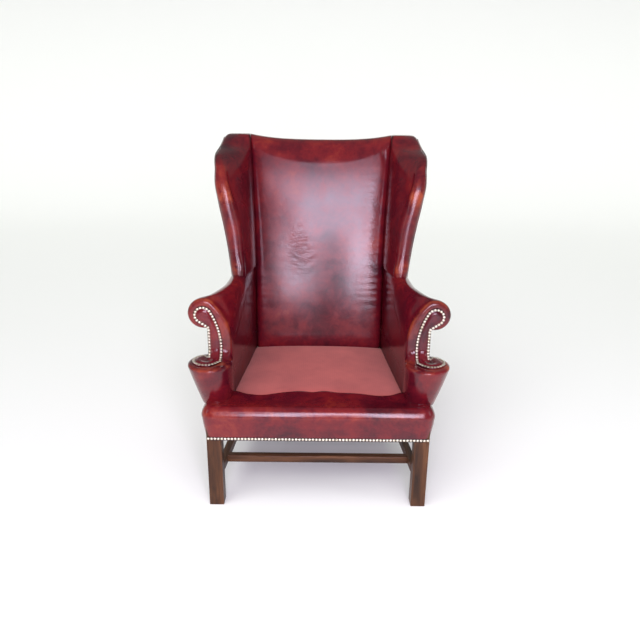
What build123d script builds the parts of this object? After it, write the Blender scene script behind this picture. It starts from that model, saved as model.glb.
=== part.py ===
from build123d import *
import os
from math import acos, atan, cos, degrees, hypot, pi, radians, sin, sqrt, tan

# Wing chair with C-scroll arms, bench upholstered in leather, on straight square legs.
# Workshop frame while modelling, in millimetres: X to the viewer's right, Y from the front
# legs' front faces towards the back, Z up from the floor. The finished parts are moved so
# that the origin lies on the floor under the middle of the chair.

# Seat plan and heights
leg_half_span = 362.0
seat_taper = 0.0918
post_front_y = 571.0
post_depth = 38.0
back_rake = 10.8
hem_height = 248.0
rail_bottom = 254.0
rail_top = 340.0
arm_top = 688.0
wing_top = 1154.0
crest_top = 1135.0
crest_ear_rise = 18.0

# Materials and fits
leather = 2.0
clearance = 0.3
cloth = 1.2
webbing = 2.0
overrun = 12.0
seam_lap = 8.0
panel_gap = 1.0

# Legs
front_leg_side = 48.0
leg_edge_radius = 2.5
rear_leg_width = 45.0
rear_leg_kick = 69.0
rear_foot_depth = 42.0

# Stretchers
stretcher_bottom = 105.0
stretcher_height = 25.0
side_stretcher_width = 24.0
cross_stretcher_width = 22.0
cross_stretcher_y = 98.0
rear_stretcher_setback = 15.0
stretcher_tenon_width = 8.0
stretcher_tenon_inset = 5.0
stretcher_tenon_depth = 18.0
stretcher_moulding = 4.0

# Seat rails
rail_thickness = 28.0
rail_setback = 2.0
rail_tenon_width = 12.0
rail_tenon_inset = 14.0
rail_tenon_depth = 20.0
block_reach = 64.0
block_height = 40.0
block_drop = 8.0

# Back frame
post_width = 45.0
post_waist_z = 690.0
post_top_half = 348.0
crest_rail_bottom = 1060.0
crest_rail_seat = 1085.0
crest_padding = 11.0
crest_rail_depth = 35.0
post_tenon_width = 20.0
post_tenon_height = 24.0
post_tenon_depth = 14.0
lower_rail_bottom = 396.0
lower_rail_height = 42.0
lower_rail_depth = 26.0

# Arm and wing frame
arm_front_y = 120.0
arm_post_thickness = 27.0
arm_post_width = 29.0
arm_post_tenon_height = 22.0
arm_post_tenon_width = 14.0
arm_rail_bottom = 585.0
arm_rail_height = 25.0
arm_rail_front_inset = 47.0
arm_rail_width = 26.0
wing_post_thickness = 20.0
wing_post_depth = 38.0
wing_post_foot_y = 414.0
wing_post_head_y = 488.0
wing_post_top = 1018.0
wing_post_foot_inset = 46.0
wing_post_head_offset = 15.0
wing_rail_height = 30.0

# Arm form
arm_wall = 73.0
arm_lean = 3.0
roll_radius = 50.5
roll_edge = 18.0
roll_edge_inset = 12.0
wing_foot_y = 398.0

# Cone under the scroll
cone_bottom_radius = 38.0
cone_bottom_x = 330.0
cone_bottom_y = 109.0
cone_top_radius = 68.0
cone_top_x = 350.0
cone_top_y = 82.0
shelf_height = 488.0
facing_bend = 40.0
facing_stem_inner = 318.0
facing_stem_outer = 360.0
facing_thickness = 2.0

# Wing form
wing_flare = 42.5
wing_sweep = 58.0
wing_roll = 46.0

# Back pad form
back_pad_depth = 42.0
back_pad_edge_depth = 37.0
back_pad_crown = 6.0
back_seam_low = 239.0
back_seam_high = 262.0
crest_over = 12.0
crest_fall = 6.0

# Front roll and band
band_bulge = 9.5
roll_height = 26.0
lip_y = 108.0

# Seat deck
deck_front_half = 278.0
deck_rear_half = 240.0
deck_front_edge = 13.0
deck_rear_edge = 7.0
deck_crown = 9.0
deck_gap = 2.0
strap_width = 50.0
strap_count = 5
back_strap_count = 4
webbing_lap = 10.0
spring_rows = 3
spring_radius = 32.0
spring_waist = 24.0
spring_wire = 3.6
spring_turns = 4
spring_sides = 7

# Facets of the soft forms
arc_chords = 4
cone_sides = 32
flat_limit = 0.001
full_turn = 360.0

# Brass nails
nail_diameter = 9.2
nail_height = 3.4
nail_pitch = 11.0
nail_line = 7.0
nail_sides = 6
nail_turn_middle = 46.0
nail_turn_end = -60.0
shelf_nail_start = 205.0

# Worked out from the values above
rake = tan(radians(back_rake))
wire_clear = leather + clearance


def half(y):
    """Half the seat frame's width at depth y: straight past the front leg, then tapered."""
    run = min(y, post_front_y + post_depth) - front_leg_side
    return leg_half_span - seat_taper * max(run, 0.0)


def back_y(z, n=0.0):
    """Depth of the raked back at height z, n behind the front faces of the back posts."""
    return post_front_y + (z - rail_top) * rake + n


def box(x0, x1, y0, y1, z0, z1):
    """Block between two corners."""
    size = (abs(x1 - x0), abs(y1 - y0), abs(z1 - z0))
    middle = ((x0 + x1) / 2, (y0 + y1) / 2, (z0 + z1) / 2)
    return Pos(*middle) * Solid.make_box(*size).moved(Pos(*(-s / 2 for s in size)))


def sheet_prism(points, direction):
    """Straight prism over a closed outline of space points."""
    outline = Wire.make_polygon([Vector(*p) for p in points], close=True)
    return Solid.extrude(Face(outline), Vector(*direction))


def plan_prism(points, z0, z1):
    """Prism over a plan outline of (x, y) points."""
    return sheet_prism([(x, y, z0) for x, y in points], (0, 0, z1 - z0))


def side_prism(points, x0, x1):
    """Prism over a side outline of (y, z) points."""
    return sheet_prism([(x0, y, z) for y, z in points], (x1 - x0, 0, 0))


def front_prism(points, y0, y1):
    """Prism over a front outline of (x, z) points."""
    return sheet_prism([(x, y0, z) for x, z in points], (0, y1 - y0, 0))


def raked_slab(x0, x1, n0, n1, z0, z1):
    """Slab that leans with the back, between depths n0 and n1 behind the post fronts."""
    outline = [(back_y(z0, n0), z0), (back_y(z0, n1), z0), (back_y(z1, n1), z1), (back_y(z1, n0), z1)]
    return side_prism(outline, x0, x1)


def between(a, b, share):
    """Value a share of the way from a to b."""
    return a + (b - a) * share


def outline_wire(points):
    """Closed wire of lines and arcs; a point is (corner,) or (middle of arc, corner)."""
    corners = [Vector(*p[-1]) for p in points]
    edges = []
    for i, point in enumerate(points):
        start, end = corners[i - 1], corners[i]
        if len(point) == 2:
            edges.append(Edge.make_three_point_arc(start, Vector(*point[0]), end))
        else:
            edges.append(Edge.make_line(start, end))
    return Wire(edges)


def outline_points(points):
    """The same outline as outline_wire's, as corner points with each arc in a few chords."""
    corners = [Vector(*p[-1]) for p in points]
    result = []
    for i, point in enumerate(points):
        if len(point) == 2:
            arc = Edge.make_three_point_arc(corners[i - 1], Vector(*point[0]), corners[i])
            result += [arc.position_at(k / arc_chords) for k in range(1, arc_chords)]
        result.append(corners[i])
    return result


def facet(*corners):
    return Face(Wire.make_polygon(corners, close=True))


def facets(a, b, c, d):
    """One flat face through four points, or two where they are twisted."""
    normal = (b - a).cross(c - a).normalized()
    if abs(normal.dot(d - a)) < flat_limit:
        return [facet(a, b, c, d)]
    return [facet(a, b, c), facet(a, c, d)]


def skin(sections, turned=()):
    """Solid of flat facets through closed outlines with the same number of points.

    A twisted side in turned is split along its other diagonal, as the sheet's other face is."""
    faces = [facet(*sections[0]), facet(*sections[-1])]
    for low, high in zip(sections, sections[1:]):
        for i in range(len(low)):
            if i in turned:
                faces += facets(low[i], high[i], high[i - 1], low[i - 1])
            else:
                faces += facets(low[i - 1], low[i], high[i], high[i - 1])
    return Solid(Shell(faces))


def loft(sections):
    """Solid through closed wires, straight from each to the next."""
    return Solid.make_loft(sections, True)


def bulged(start, end, rise, normal):
    """Middle of an arc that stands rise off the line between two points."""
    middle = [between(a, b, 1 / 2) for a, b in zip(start, end)]
    return tuple(m + rise * n for m, n in zip(middle, normal))


def gather(*shapes):
    """Every solid of the shapes, as one group."""
    solids = []
    for shape in shapes:
        solids += list(shape.solids())
    return Compound(solids)


def cut(shape, *tools):
    """Shape less its tools."""
    for tool in tools:
        shape = gather(shape - tool)
    return shape


def left_of(shape):
    """The same piece on the chair's other side."""
    return shape.mirror(Plane.YZ)


# Legs, rails and stretchers: the frame that shows, and the seat frame behind the band
leg_inner_x = leg_half_span - front_leg_side
stretcher_top = stretcher_bottom + stretcher_height
rail_front_tenon = (rail_bottom + rail_tenon_inset, rail_top - rail_tenon_inset)


def front_rail_tenon():
    y0 = rail_setback + (rail_thickness - rail_tenon_width) / 2
    x0 = leg_inner_x - overrun
    return box(x0, leg_inner_x + rail_tenon_depth, y0, y0 + rail_tenon_width, *rail_front_tenon)


def side_rail_tenon(y0, y1, y_ref):
    x_middle = half(y_ref) - rail_thickness / 2
    x0 = x_middle - rail_tenon_width / 2
    return box(x0, x0 + rail_tenon_width, y0, y1, *rail_front_tenon)


def side_stretcher_tenon(y0, y1, y_ref):
    x_middle = stretcher_x(y_ref) + side_stretcher_width / 2
    x0 = x_middle - stretcher_tenon_width / 2
    z0 = stretcher_bottom + stretcher_tenon_inset
    return box(x0, x0 + stretcher_tenon_width, y0, y1, z0, stretcher_top - stretcher_tenon_inset)


def stretcher_x(y):
    """Inner face of the side stretcher at depth y."""
    return leg_inner_x - seat_taper * (y - front_leg_side)


def rear_leg_blank():
    """Rear leg: upright beside the rail, kicked back below it, lapped over the back post's foot."""
    top_rear = post_front_y + post_depth
    foot_front = post_front_y + rear_leg_kick
    outline = [
        (post_front_y, rail_top),
        (post_front_y, rail_bottom),
        (foot_front, 0.0),
        (foot_front + rear_foot_depth, 0.0),
        (top_rear, rail_bottom),
        (top_rear, rail_top),
    ]
    outer = half(top_rear)
    return side_prism(outline, outer - rear_leg_width, outer)


def lap_region():
    """Inner half of the rear leg's head, where the back post's foot is lapped in."""
    outer = half(post_front_y + post_depth)
    inner = outer - rear_leg_width
    y1 = post_front_y + post_depth
    return box(inner, inner + rear_leg_width / 2, post_front_y, y1, rail_bottom, rail_top)


front_leg = box(leg_inner_x, leg_half_span, 0.0, front_leg_side, 0.0, rail_top)
front_leg = front_leg.fillet(leg_edge_radius, front_leg.edges().filter_by(Axis.Z))
rear_leg = rear_leg_blank()

rear_rail_y = post_front_y + (post_depth - rail_thickness) / 2
rear_rail_half = half(post_front_y + post_depth) - rear_leg_width
rear_rail_tenon_y = rear_rail_y + (rail_thickness - rail_tenon_width) / 2
rear_rail_tenon = box(
    rear_rail_half - overrun,
    rear_rail_half + rear_leg_width / 2 + rail_tenon_width,
    rear_rail_tenon_y,
    rear_rail_tenon_y + rail_tenon_width,
    *rail_front_tenon,
)

front_tenon = front_rail_tenon()
side_front_tenon = side_rail_tenon(
    front_leg_side - rail_tenon_depth, front_leg_side + overrun, front_leg_side
)
side_rear_tenon = side_rail_tenon(post_front_y - overrun, post_front_y + rail_tenon_depth, post_front_y)
side_front_tenon = cut(side_front_tenon, front_tenon)
side_rear_tenon = cut(side_rear_tenon, rear_rail_tenon)

stretcher_front_tenon = side_stretcher_tenon(
    front_leg_side - stretcher_tenon_depth, front_leg_side + overrun, front_leg_side
)
stretcher_plan = [
    (stretcher_x(front_leg_side), front_leg_side),
    (stretcher_x(front_leg_side) + side_stretcher_width, front_leg_side),
    (stretcher_x(post_front_y + rear_leg_kick) + side_stretcher_width, post_front_y + rear_leg_kick),
    (stretcher_x(post_front_y + rear_leg_kick), post_front_y + rear_leg_kick),
]
side_stretcher = plan_prism(stretcher_plan, stretcher_bottom, stretcher_top)
behind_leg_front = side_prism(
    [
        (post_front_y, rail_bottom),
        (post_front_y + rear_leg_kick, 0.0),
        (post_front_y + rear_leg_kick + leg_half_span, 0.0),
        (post_front_y + rear_leg_kick + leg_half_span, rail_bottom),
    ],
    0.0,
    leg_half_span,
)
side_stretcher = cut(side_stretcher, behind_leg_front)
stretcher_rear_y = post_front_y + rear_leg_kick / 2
stretcher_rear_tenon = side_stretcher_tenon(
    stretcher_rear_y, stretcher_rear_y + rear_foot_depth, stretcher_rear_y
)
stretcher_rear_mortise = gather(stretcher_rear_tenon & rear_leg)

cross_tenon_x = stretcher_x(cross_stretcher_y + cross_stretcher_width)
cross_tenon_z = (stretcher_bottom + stretcher_tenon_inset, stretcher_top - stretcher_tenon_inset)
cross_tenon_y = cross_stretcher_y + (cross_stretcher_width - stretcher_tenon_width) / 2
cross_tenon = box(
    cross_tenon_x - overrun,
    cross_tenon_x + side_stretcher_width / 2,
    cross_tenon_y,
    cross_tenon_y + stretcher_tenon_width,
    *cross_tenon_z,
)
cross_plan = [
    (stretcher_x(cross_stretcher_y), cross_stretcher_y),
    (stretcher_x(cross_stretcher_y + cross_stretcher_width), cross_stretcher_y + cross_stretcher_width),
]
cross_plan += [(-x, y) for x, y in reversed(cross_plan)]
cross_stretcher = plan_prism(cross_plan, stretcher_bottom, stretcher_top)
cross_edges = cross_stretcher.edges().filter_by(Axis.X).group_by(Axis.Z)[-1].sort_by(Axis.Y)
cross_stretcher = cross_stretcher.fillet(stretcher_moulding, [cross_edges[0]])
cross_stretcher = gather(cross_stretcher + cross_tenon + left_of(cross_tenon))
side_stretcher = cut(side_stretcher, cross_tenon)
side_stretcher = gather(side_stretcher + stretcher_front_tenon + stretcher_rear_mortise)

rear_stretcher_y = post_front_y + rear_leg_kick / 2 + rear_stretcher_setback
rear_stretcher_tenon = box(
    rear_rail_half - overrun,
    rear_rail_half + stretcher_tenon_width,
    rear_stretcher_y + stretcher_tenon_inset,
    rear_stretcher_y + cross_stretcher_width - stretcher_tenon_inset,
    *cross_tenon_z,
)
rear_stretcher_tenon = cut(rear_stretcher_tenon, stretcher_rear_mortise)
rear_stretcher = box(
    -rear_rail_half,
    rear_rail_half,
    rear_stretcher_y,
    rear_stretcher_y + cross_stretcher_width,
    stretcher_bottom,
    stretcher_top,
)
rear_stretcher = gather(rear_stretcher + rear_stretcher_tenon + left_of(rear_stretcher_tenon))

front_rail = box(
    -leg_inner_x, leg_inner_x, rail_setback, rail_setback + rail_thickness, rail_bottom, rail_top
)
front_rail = gather(front_rail + front_tenon + left_of(front_tenon))
rear_rail = box(
    -rear_rail_half, rear_rail_half, rear_rail_y, rear_rail_y + rail_thickness, rail_bottom, rail_top
)
rear_rail = gather(rear_rail + rear_rail_tenon + left_of(rear_rail_tenon))
side_rail_plan = [
    (half(front_leg_side) - rail_thickness, front_leg_side),
    (half(front_leg_side), front_leg_side),
    (half(post_front_y), post_front_y),
    (half(post_front_y) - rail_thickness, post_front_y),
]
side_rail = plan_prism(side_rail_plan, rail_bottom, rail_top)
side_rail = gather(side_rail + side_front_tenon + side_rear_tenon)

# Back posts lap onto the rear legs; the crest rail is tenoned on top of them
post_waist_half = half(post_front_y + post_depth)


def back_outer(z):
    """Outside of the back posts at height z."""
    share = (z - post_waist_z) / (crest_rail_seat - post_waist_z)
    return between(post_waist_half, post_top_half, min(max(share, 0.0), 1.0))


def post_outline():
    outer = [(post_waist_half, rail_top), (post_waist_half, post_waist_z), (post_top_half, crest_rail_seat)]
    inner = [(x - post_width, z) for x, z in reversed(outer)]
    return outer + inner


def post_body():
    deep = post_front_y - post_depth
    body = front_prism(post_outline(), deep, back_y(wing_top, post_depth))
    return body & raked_slab(0.0, leg_half_span, 0.0, post_depth, rail_top, crest_rail_seat)


def post_tenon():
    middle = post_top_half - post_width / 2
    n0 = (post_depth - post_tenon_depth) / 2
    top = crest_rail_seat + post_tenon_height
    x0 = middle - post_tenon_width / 2
    return raked_slab(x0, x0 + post_tenon_width, n0, n0 + post_tenon_depth, crest_rail_seat, top)


def crest_outline():
    """Front outline of the crest rail: level in the middle, rising to an ear at each end."""
    top = crest_top - crest_padding
    rise = crest_ear_rise
    ear_shares = [(0.0, 0.0), (0.5, 0.22), (0.75, 0.9), (0.9, 1.2), (0.975, 0.9)]
    end = post_top_half - wire_clear
    right = [(end * x, top + rise * z) for x, z in ear_shares]
    right += [(end, top - rise / 2), (end, crest_rail_seat)]
    right += [(post_top_half - post_width, crest_rail_seat)]
    right += [(back_outer(crest_rail_bottom) - post_width, crest_rail_bottom)]
    left = [(-x, z) for x, z in reversed(right[1:])]
    return right + left


back_post = gather(post_body() + lap_region())
back_post_tenon = post_tenon()
crest_rail = front_prism(crest_outline(), post_front_y, back_y(wing_top, post_depth))
crest_rail = gather(
    crest_rail & raked_slab(-leg_half_span, leg_half_span, 0.0, crest_rail_depth, crest_rail_bottom, wing_top)
)
crest_blank = crest_rail
crest_rail = cut(crest_blank, back_post_tenon, left_of(back_post_tenon))
back_post = gather(back_post + back_post_tenon)
lower_rail_half = post_waist_half - post_width
lower_back_rail = raked_slab(
    -lower_rail_half,
    lower_rail_half,
    0.0,
    lower_rail_depth,
    lower_rail_bottom,
    lower_rail_bottom + lower_rail_height,
)

front_leg = cut(front_leg, front_tenon, side_front_tenon, stretcher_front_tenon)
rear_leg = cut(rear_leg, lap_region(), side_rear_tenon, rear_rail_tenon)
rear_leg = cut(rear_leg, stretcher_rear_mortise, rear_stretcher_tenon)
back_post = cut(back_post, side_rear_tenon, rear_rail_tenon)


def corner_block(front):
    """Glued block across an inside corner of the seat frame."""
    z1 = rail_top - block_drop
    if front:
        rail_y = rail_setback + rail_thickness
        plan = [
            (leg_inner_x - block_reach, rail_y),
            (leg_inner_x, rail_y),
            (leg_inner_x, front_leg_side),
            (half(front_leg_side) - rail_thickness, front_leg_side),
            (half(front_leg_side + block_reach) - rail_thickness, front_leg_side + block_reach),
        ]
    else:
        near = post_front_y - block_reach
        plan = [
            (rear_rail_half - block_reach, rear_rail_y),
            (rear_rail_half, rear_rail_y),
            (rear_rail_half, post_front_y),
            (half(post_front_y) - rail_thickness, post_front_y),
            (half(near) - rail_thickness, near),
        ]
    return plan_prism(plan, z1 - block_height, z1)


corner_blocks = [corner_block(front) for front in (True, False)]
corner_blocks = gather(*corner_blocks, *(left_of(block) for block in corner_blocks))

# Arm form: each station gives the share of the way from the scroll's face to the wing's foot,
# then where the top edge, the crown and the stem lie in shares of the arm wall, the roll's
# radius and the top edge's drop in shares of the roll radius, the inner face's bulge in
# shares of the arm wall, and the height where that face starts to lean
arm_station_shares = [
    (0.000, 0.12, 0.26, 0.050, 1.00, 0.18, 0.24, 0.54),
    (0.022, 0.12, 0.26, 0.050, 1.00, 0.18, 0.24, 0.54),
    (0.065, 0.12, 0.26, 0.050, 1.00, 0.18, 0.24, 0.54),
    (0.190, 0.42, -0.09, -0.02, 0.91, 0.22, 0.21, 0.56),
    (0.430, 0.69, -0.35, -0.03, 0.79, 0.26, 0.16, 0.62),
    (0.680, 0.81, -0.48, -0.09, 0.67, 0.26, 0.11, 0.70),
    (0.860, 0.86, -0.46, -0.11, 0.60, 0.24, 0.07, 0.80),
    (1.000, 0.87, -0.42, -0.10, 0.55, 0.20, 0.04, 0.84),
    (1.500, 0.89, -0.36, -0.05, 0.53, 0.16, 0.03, 0.85),
    (1.758, 0.89, -0.34, 0.010, 0.53, 0.16, 0.03, 0.85),
    (2.150, 0.89, -0.34, 0.010, 0.53, 0.16, 0.03, 0.85),
]

# Arm and wing frame
head_share = 0.66
head_neck_share = 0.8
head_cheek_shares = (0.5, 0.84)
arm_post_y1 = arm_front_y + arm_post_thickness
arm_post_outer = half(arm_post_y1) - clearance
arm_post_inner = arm_post_outer - arm_post_width + rail_setback
head_x = half(arm_front_y) + arm_wall * arm_station_shares[0][2]
head_z = arm_top - roll_radius
head_radius = roll_radius * head_share


def arm_post_body(grow=0.0):
    """Scroll board at the front of the arm: a stump on the side rail with a round head."""
    outline = [
        (arm_post_inner - grow, rail_top),
        (arm_post_outer + grow, rail_top),
        (arm_post_outer + grow, head_z - head_radius * head_neck_share),
        (head_x, head_z),
        (head_x - head_radius * head_cheek_shares[0], head_z + head_radius * head_cheek_shares[1] + grow),
        (arm_post_inner - grow, between(rail_top, head_z, head_neck_share)),
    ]
    head = Solid.make_cylinder(head_radius + grow, arm_post_thickness + grow)
    head = Pos(head_x, arm_post_y1 + grow, head_z) * Rot(90, 0, 0) * head
    return gather(front_prism(outline, arm_front_y, arm_post_y1 + grow) + head)


def arm_post_tenon():
    middle = half(arm_front_y + arm_post_thickness / 2) - rail_thickness / 2
    x0 = middle - arm_post_tenon_width / 2
    y0 = arm_front_y + stretcher_tenon_inset
    y1 = arm_post_y1 - stretcher_tenon_inset
    return box(x0, x0 + arm_post_tenon_width, y0, y1, rail_top - arm_post_tenon_height, rail_top)


post_tenon_in_rail = arm_post_tenon()
arm_post = gather(arm_post_body() + post_tenon_in_rail)
side_rail = cut(side_rail, post_tenon_in_rail)

arm_rail_top = arm_rail_bottom + arm_rail_height
arm_rail_front_x = half(arm_post_y1) - arm_rail_front_inset
arm_rail_rear_x = post_waist_half - post_width
arm_rail_rear_y = back_y(arm_rail_top)
arm_rail = plan_prism(
    [
        (arm_rail_front_x, arm_post_y1),
        (arm_rail_front_x + arm_rail_width, arm_post_y1),
        (arm_rail_rear_x + arm_rail_width, arm_rail_rear_y),
        (arm_rail_rear_x, arm_rail_rear_y),
    ],
    arm_rail_bottom,
    arm_rail_top,
)
arm_rail = cut(arm_rail, raked_slab(0.0, leg_half_span, 0.0, post_depth, rail_top, crest_rail_seat))

wing_outer_head = half(wing_foot_y) + wing_flare - wing_post_head_offset
wing_post_foot_x = half(wing_post_foot_y) - wing_post_foot_inset


def level_rectangle(x0, x1, y0, y1, z):
    return Wire.make_polygon([Vector(x0, y0, z), Vector(x1, y0, z), Vector(x1, y1, z), Vector(x0, y1, z)])


wing_post = loft(
    [
        level_rectangle(
            wing_post_foot_x,
            wing_post_foot_x + wing_post_thickness,
            wing_post_foot_y,
            wing_post_foot_y + wing_post_depth,
            arm_rail_top,
        ),
        level_rectangle(
            wing_outer_head - wing_post_thickness,
            wing_outer_head,
            wing_post_head_y,
            wing_post_head_y + wing_post_depth,
            wing_post_top,
        ),
    ]
)
wing_rail_rear_y = back_y(wing_top)
wing_rail_side = [
    (wing_post_head_y, wing_post_top),
    (wing_post_head_y + wing_post_depth, wing_post_top),
    (back_y(crest_rail_seat), crest_rail_seat),
    (wing_rail_rear_y, crest_rail_seat + wing_rail_height),
    (back_y(crest_rail_seat), crest_rail_seat + wing_rail_height),
    (wing_post_head_y, wing_post_top + wing_rail_height),
]
wing_rail_rear_x = post_top_half - post_width / 2 - wing_post_thickness / 2
wing_rail_plan = [
    (wing_outer_head - wing_post_thickness, wing_post_head_y),
    (wing_outer_head, wing_post_head_y),
    (wing_rail_rear_x + wing_post_thickness, wing_rail_rear_y),
    (wing_rail_rear_x, wing_rail_rear_y),
]
wing_rail = side_prism(wing_rail_side, 0.0, leg_half_span) & plan_prism(wing_rail_plan, rail_top, wing_top)
wing_rail = cut(wing_rail, raked_slab(0.0, leg_half_span, 0.0, leg_half_span, rail_top, wing_top))

arm_edge_shares = [1.0, 0.35]
wing_station = 7
stem_drop_share = 0.2
reach_share = 0.96
top_arc_share = 0.1
wing_seat_drop = roll_radius / 10
arm_bottom = rail_top + cloth + clearance


def arm_y(index):
    return between(arm_front_y, wing_foot_y, arm_station_shares[index][0])


def arm_stem(index, inset):
    """Foot of the roll's underside on the outer wall, and the point of the roll above it."""
    station, inner_share, crown_share, stem_share, radius_share = arm_station_shares[index][:5]
    edge = arm_edge_shares[index] if index < len(arm_edge_shares) else 0.0
    line = half(arm_y(index))
    turn = roll_radius * radius_share - inset - edge * roll_edge_inset
    crown_x = line + arm_wall * crown_share
    stem_x = line + arm_wall * stem_share - inset
    reach = min(stem_x + stem_drop_share * roll_radius / 2 - crown_x, turn * reach_share)
    under = (crown_x + reach, arm_top - roll_radius * radius_share - sqrt(turn**2 - reach**2))
    return (stem_x, under[1] - roll_radius * stem_drop_share), under, reach


def arm_section(index, inset, drop=0.0, forward=0.0):
    """Upright section of the right arm, inset from the leather's outside."""
    row = arm_station_shares[index]
    station, inner_share, crown_share, stem_share, radius_share, drop_share, bulge_share, low_share = row
    edge = arm_edge_shares[index] if index < len(arm_edge_shares) else 0.0
    d = inset + edge * roll_edge_inset
    y = arm_y(index) - forward
    line = half(arm_y(index))
    turn = roll_radius * radius_share - d
    crown_x = line + arm_wall * crown_share
    crown_z = arm_top - roll_radius * radius_share
    inner_low = (line - arm_wall + d, arm_bottom - drop)
    inner_mid = (line - arm_wall + arm_lean + d, between(rail_top, arm_top, low_share))
    lean_x = line - arm_wall * inner_share + d * cos(pi / 4)
    lean = (lean_x, arm_top - roll_radius * drop_share - d * sin(pi / 4))
    crown = (crown_x, arm_top - d)
    outer = (crown_x + turn, crown_z)
    stem, under, reach = arm_stem(index, inset)
    stem_low = (line + clearance - inset, arm_bottom - drop)
    inner_arc = bulged(inner_mid, lean, arm_wall * bulge_share, left_normal(inner_mid, lean))
    top_length = hypot(crown[0] - lean[0], crown[1] - lean[1])
    top_arc = bulged(lean, crown, top_length * top_arc_share, left_normal(lean, crown))
    round_arc = (crown_x + turn * cos(pi / 4), crown_z + turn * sin(pi / 4))
    sweep = atan((crown_z - under[1]) / reach) if reach > 0 else pi + atan((crown_z - under[1]) / reach)
    low_arc = (crown_x + turn * cos(sweep / 2), crown_z - turn * sin(sweep / 2))
    points = [
        (inner_low,),
        (inner_mid,),
        (inner_arc, lean),
        (top_arc, crown),
        (round_arc, outer),
        (low_arc, under),
        (stem,),
        (stem_low,),
    ]
    return outline_points([tuple((x, y, z) for x, z in point) for point in points])


def left_normal(start, end):
    """Unit normal to the left of the way from start to end, in a plane."""
    length = hypot(end[0] - start[0], end[1] - start[1])
    return (-(end[1] - start[1]) / length, (end[0] - start[0]) / length)


def behind_back():
    """Everything behind the rear faces of the back posts, upright by the seat and raked above it."""
    far = back_y(wing_top, post_depth) + leg_half_span
    outline = [
        (back_y(rail_top, post_depth), rail_top),
        (back_y(rail_top, post_depth), 0.0),
        (far, 0.0),
        (far, wing_top + overrun),
        (back_y(wing_top + overrun, post_depth), wing_top + overrun),
    ]
    return side_prism(outline, -leg_half_span - arm_wall, leg_half_span + arm_wall)


back_cut = behind_back()
post_cut = raked_slab(0.0, leg_half_span + arm_wall, 0.0, leg_half_span, rail_bottom, crest_rail_seat)


def arm_form(inset, drop=0.0, forward=0.0):
    """Right arm to the given inset, ended at the raked back and level under the wing."""
    sections = [arm_section(i, inset, drop) for i in range(len(arm_station_shares))]
    if forward:
        sections.insert(0, arm_section(0, inset, drop, forward))
    far = back_y(wing_top, post_depth)
    above = box(
        0.0, leg_half_span + arm_wall, wing_foot_y, far, arm_top - clearance - wing_seat_drop, wing_top
    )
    return cut(skin(sections), back_cut, post_cut, above)


# Cone under the scroll, with the hollow bend that carries the facing from the stem to the shelf
facing_inner = facing_stem_inner - nail_line / 2
facing_outer = facing_stem_outer + nail_line / 4
bend_y = arm_front_y - facing_bend
bend_z = shelf_height + facing_bend


def on_circle(x, y, radius, turn):
    """Point of a circle, turn in degrees from the first axis."""
    return (x + radius * cos(radians(turn)), y + radius * sin(radians(turn)))


def ring(x, y, z, radius, sides):
    """Corners of a level regular polygon."""
    return [Vector(*on_circle(x, y, radius, full_turn * i / sides), z) for i in range(sides)]


def cone_form(inset, drop=0.0):
    """Right cone and bend to the given inset."""
    top = shelf_height - inset
    lip = roll_edge / 2
    circles = [
        (cone_bottom_x, cone_bottom_y, arm_bottom, cone_bottom_radius - inset),
        (cone_top_x, cone_top_y, top - lip, cone_top_radius - inset),
        (cone_top_x, cone_top_y, top, cone_top_radius - inset - lip / 3),
    ]
    if drop:
        circles.insert(0, (cone_bottom_x, cone_bottom_y, arm_bottom - drop, cone_bottom_radius - inset))
    cone = skin([ring(*circle, cone_sides) for circle in circles])
    radius = facing_bend + inset
    end_y = min(bend_y + radius, arm_front_y)
    end_turn = -degrees(acos((end_y - bend_y) / radius))
    end = on_circle(bend_y, bend_z, radius, end_turn)
    points = [
        ((bend_y, top),),
        (on_circle(bend_y, bend_z, radius, (end_turn - 90) / 2), end),
    ]
    if end_y < arm_front_y:
        points.append(((arm_front_y, end[1]),))
    points += [((arm_front_y, top - lip),), ((bend_y, top - lip),)]
    bend = outline_wire([tuple((0.0, y, z) for y, z in point) for point in points])
    x0 = facing_inner - clearance + inset
    bend = Pos(x0, 0, 0) * Solid.extrude(Face(bend), Vector(facing_outer - inset - x0, 0, 0))
    return gather(cone + bend)


# Wing form: each level gives the share of the way up, then the sweep of its front edge, the
# flare of its outside and the thickness of its rolled edge in shares of those sizes
wing_level_shares = [
    (0.000, 0.00, -0.32, 1.09),
    (0.197, 0.24, -0.02, 1.20),
    (0.373, 0.52, 0.36, 1.38),
    (0.536, 0.72, 0.73, 1.26),
    (0.702, 1.00, 1.00, 1.00),
    (0.798, 1.41, 0.98, 0.83),
    (0.873, 2.28, 0.91, 0.72),
    (0.916, 3.66, 0.75, 0.85),
    (1.000, 5.00, 0.50, 1.25),
]
wing_crown_share = 0.04
wrap_share = 0.4


def seam_half(z):
    """Half width of the inside back at height z."""
    share = (z - rail_top) / (crest_top - rail_top)
    return between(back_seam_low, back_seam_high, share**2)


def wing_corners(index, inset):
    share, sweep, flare, roll = wing_level_shares[index]
    z = between(arm_top - wing_seat_drop, wing_top - inset, share)
    front = wing_foot_y + wing_sweep * sweep
    outer = half(wing_foot_y) + wing_flare * flare
    inner = outer - wing_roll * roll
    return z, front, outer, inner, wing_roll * roll / 2


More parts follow.
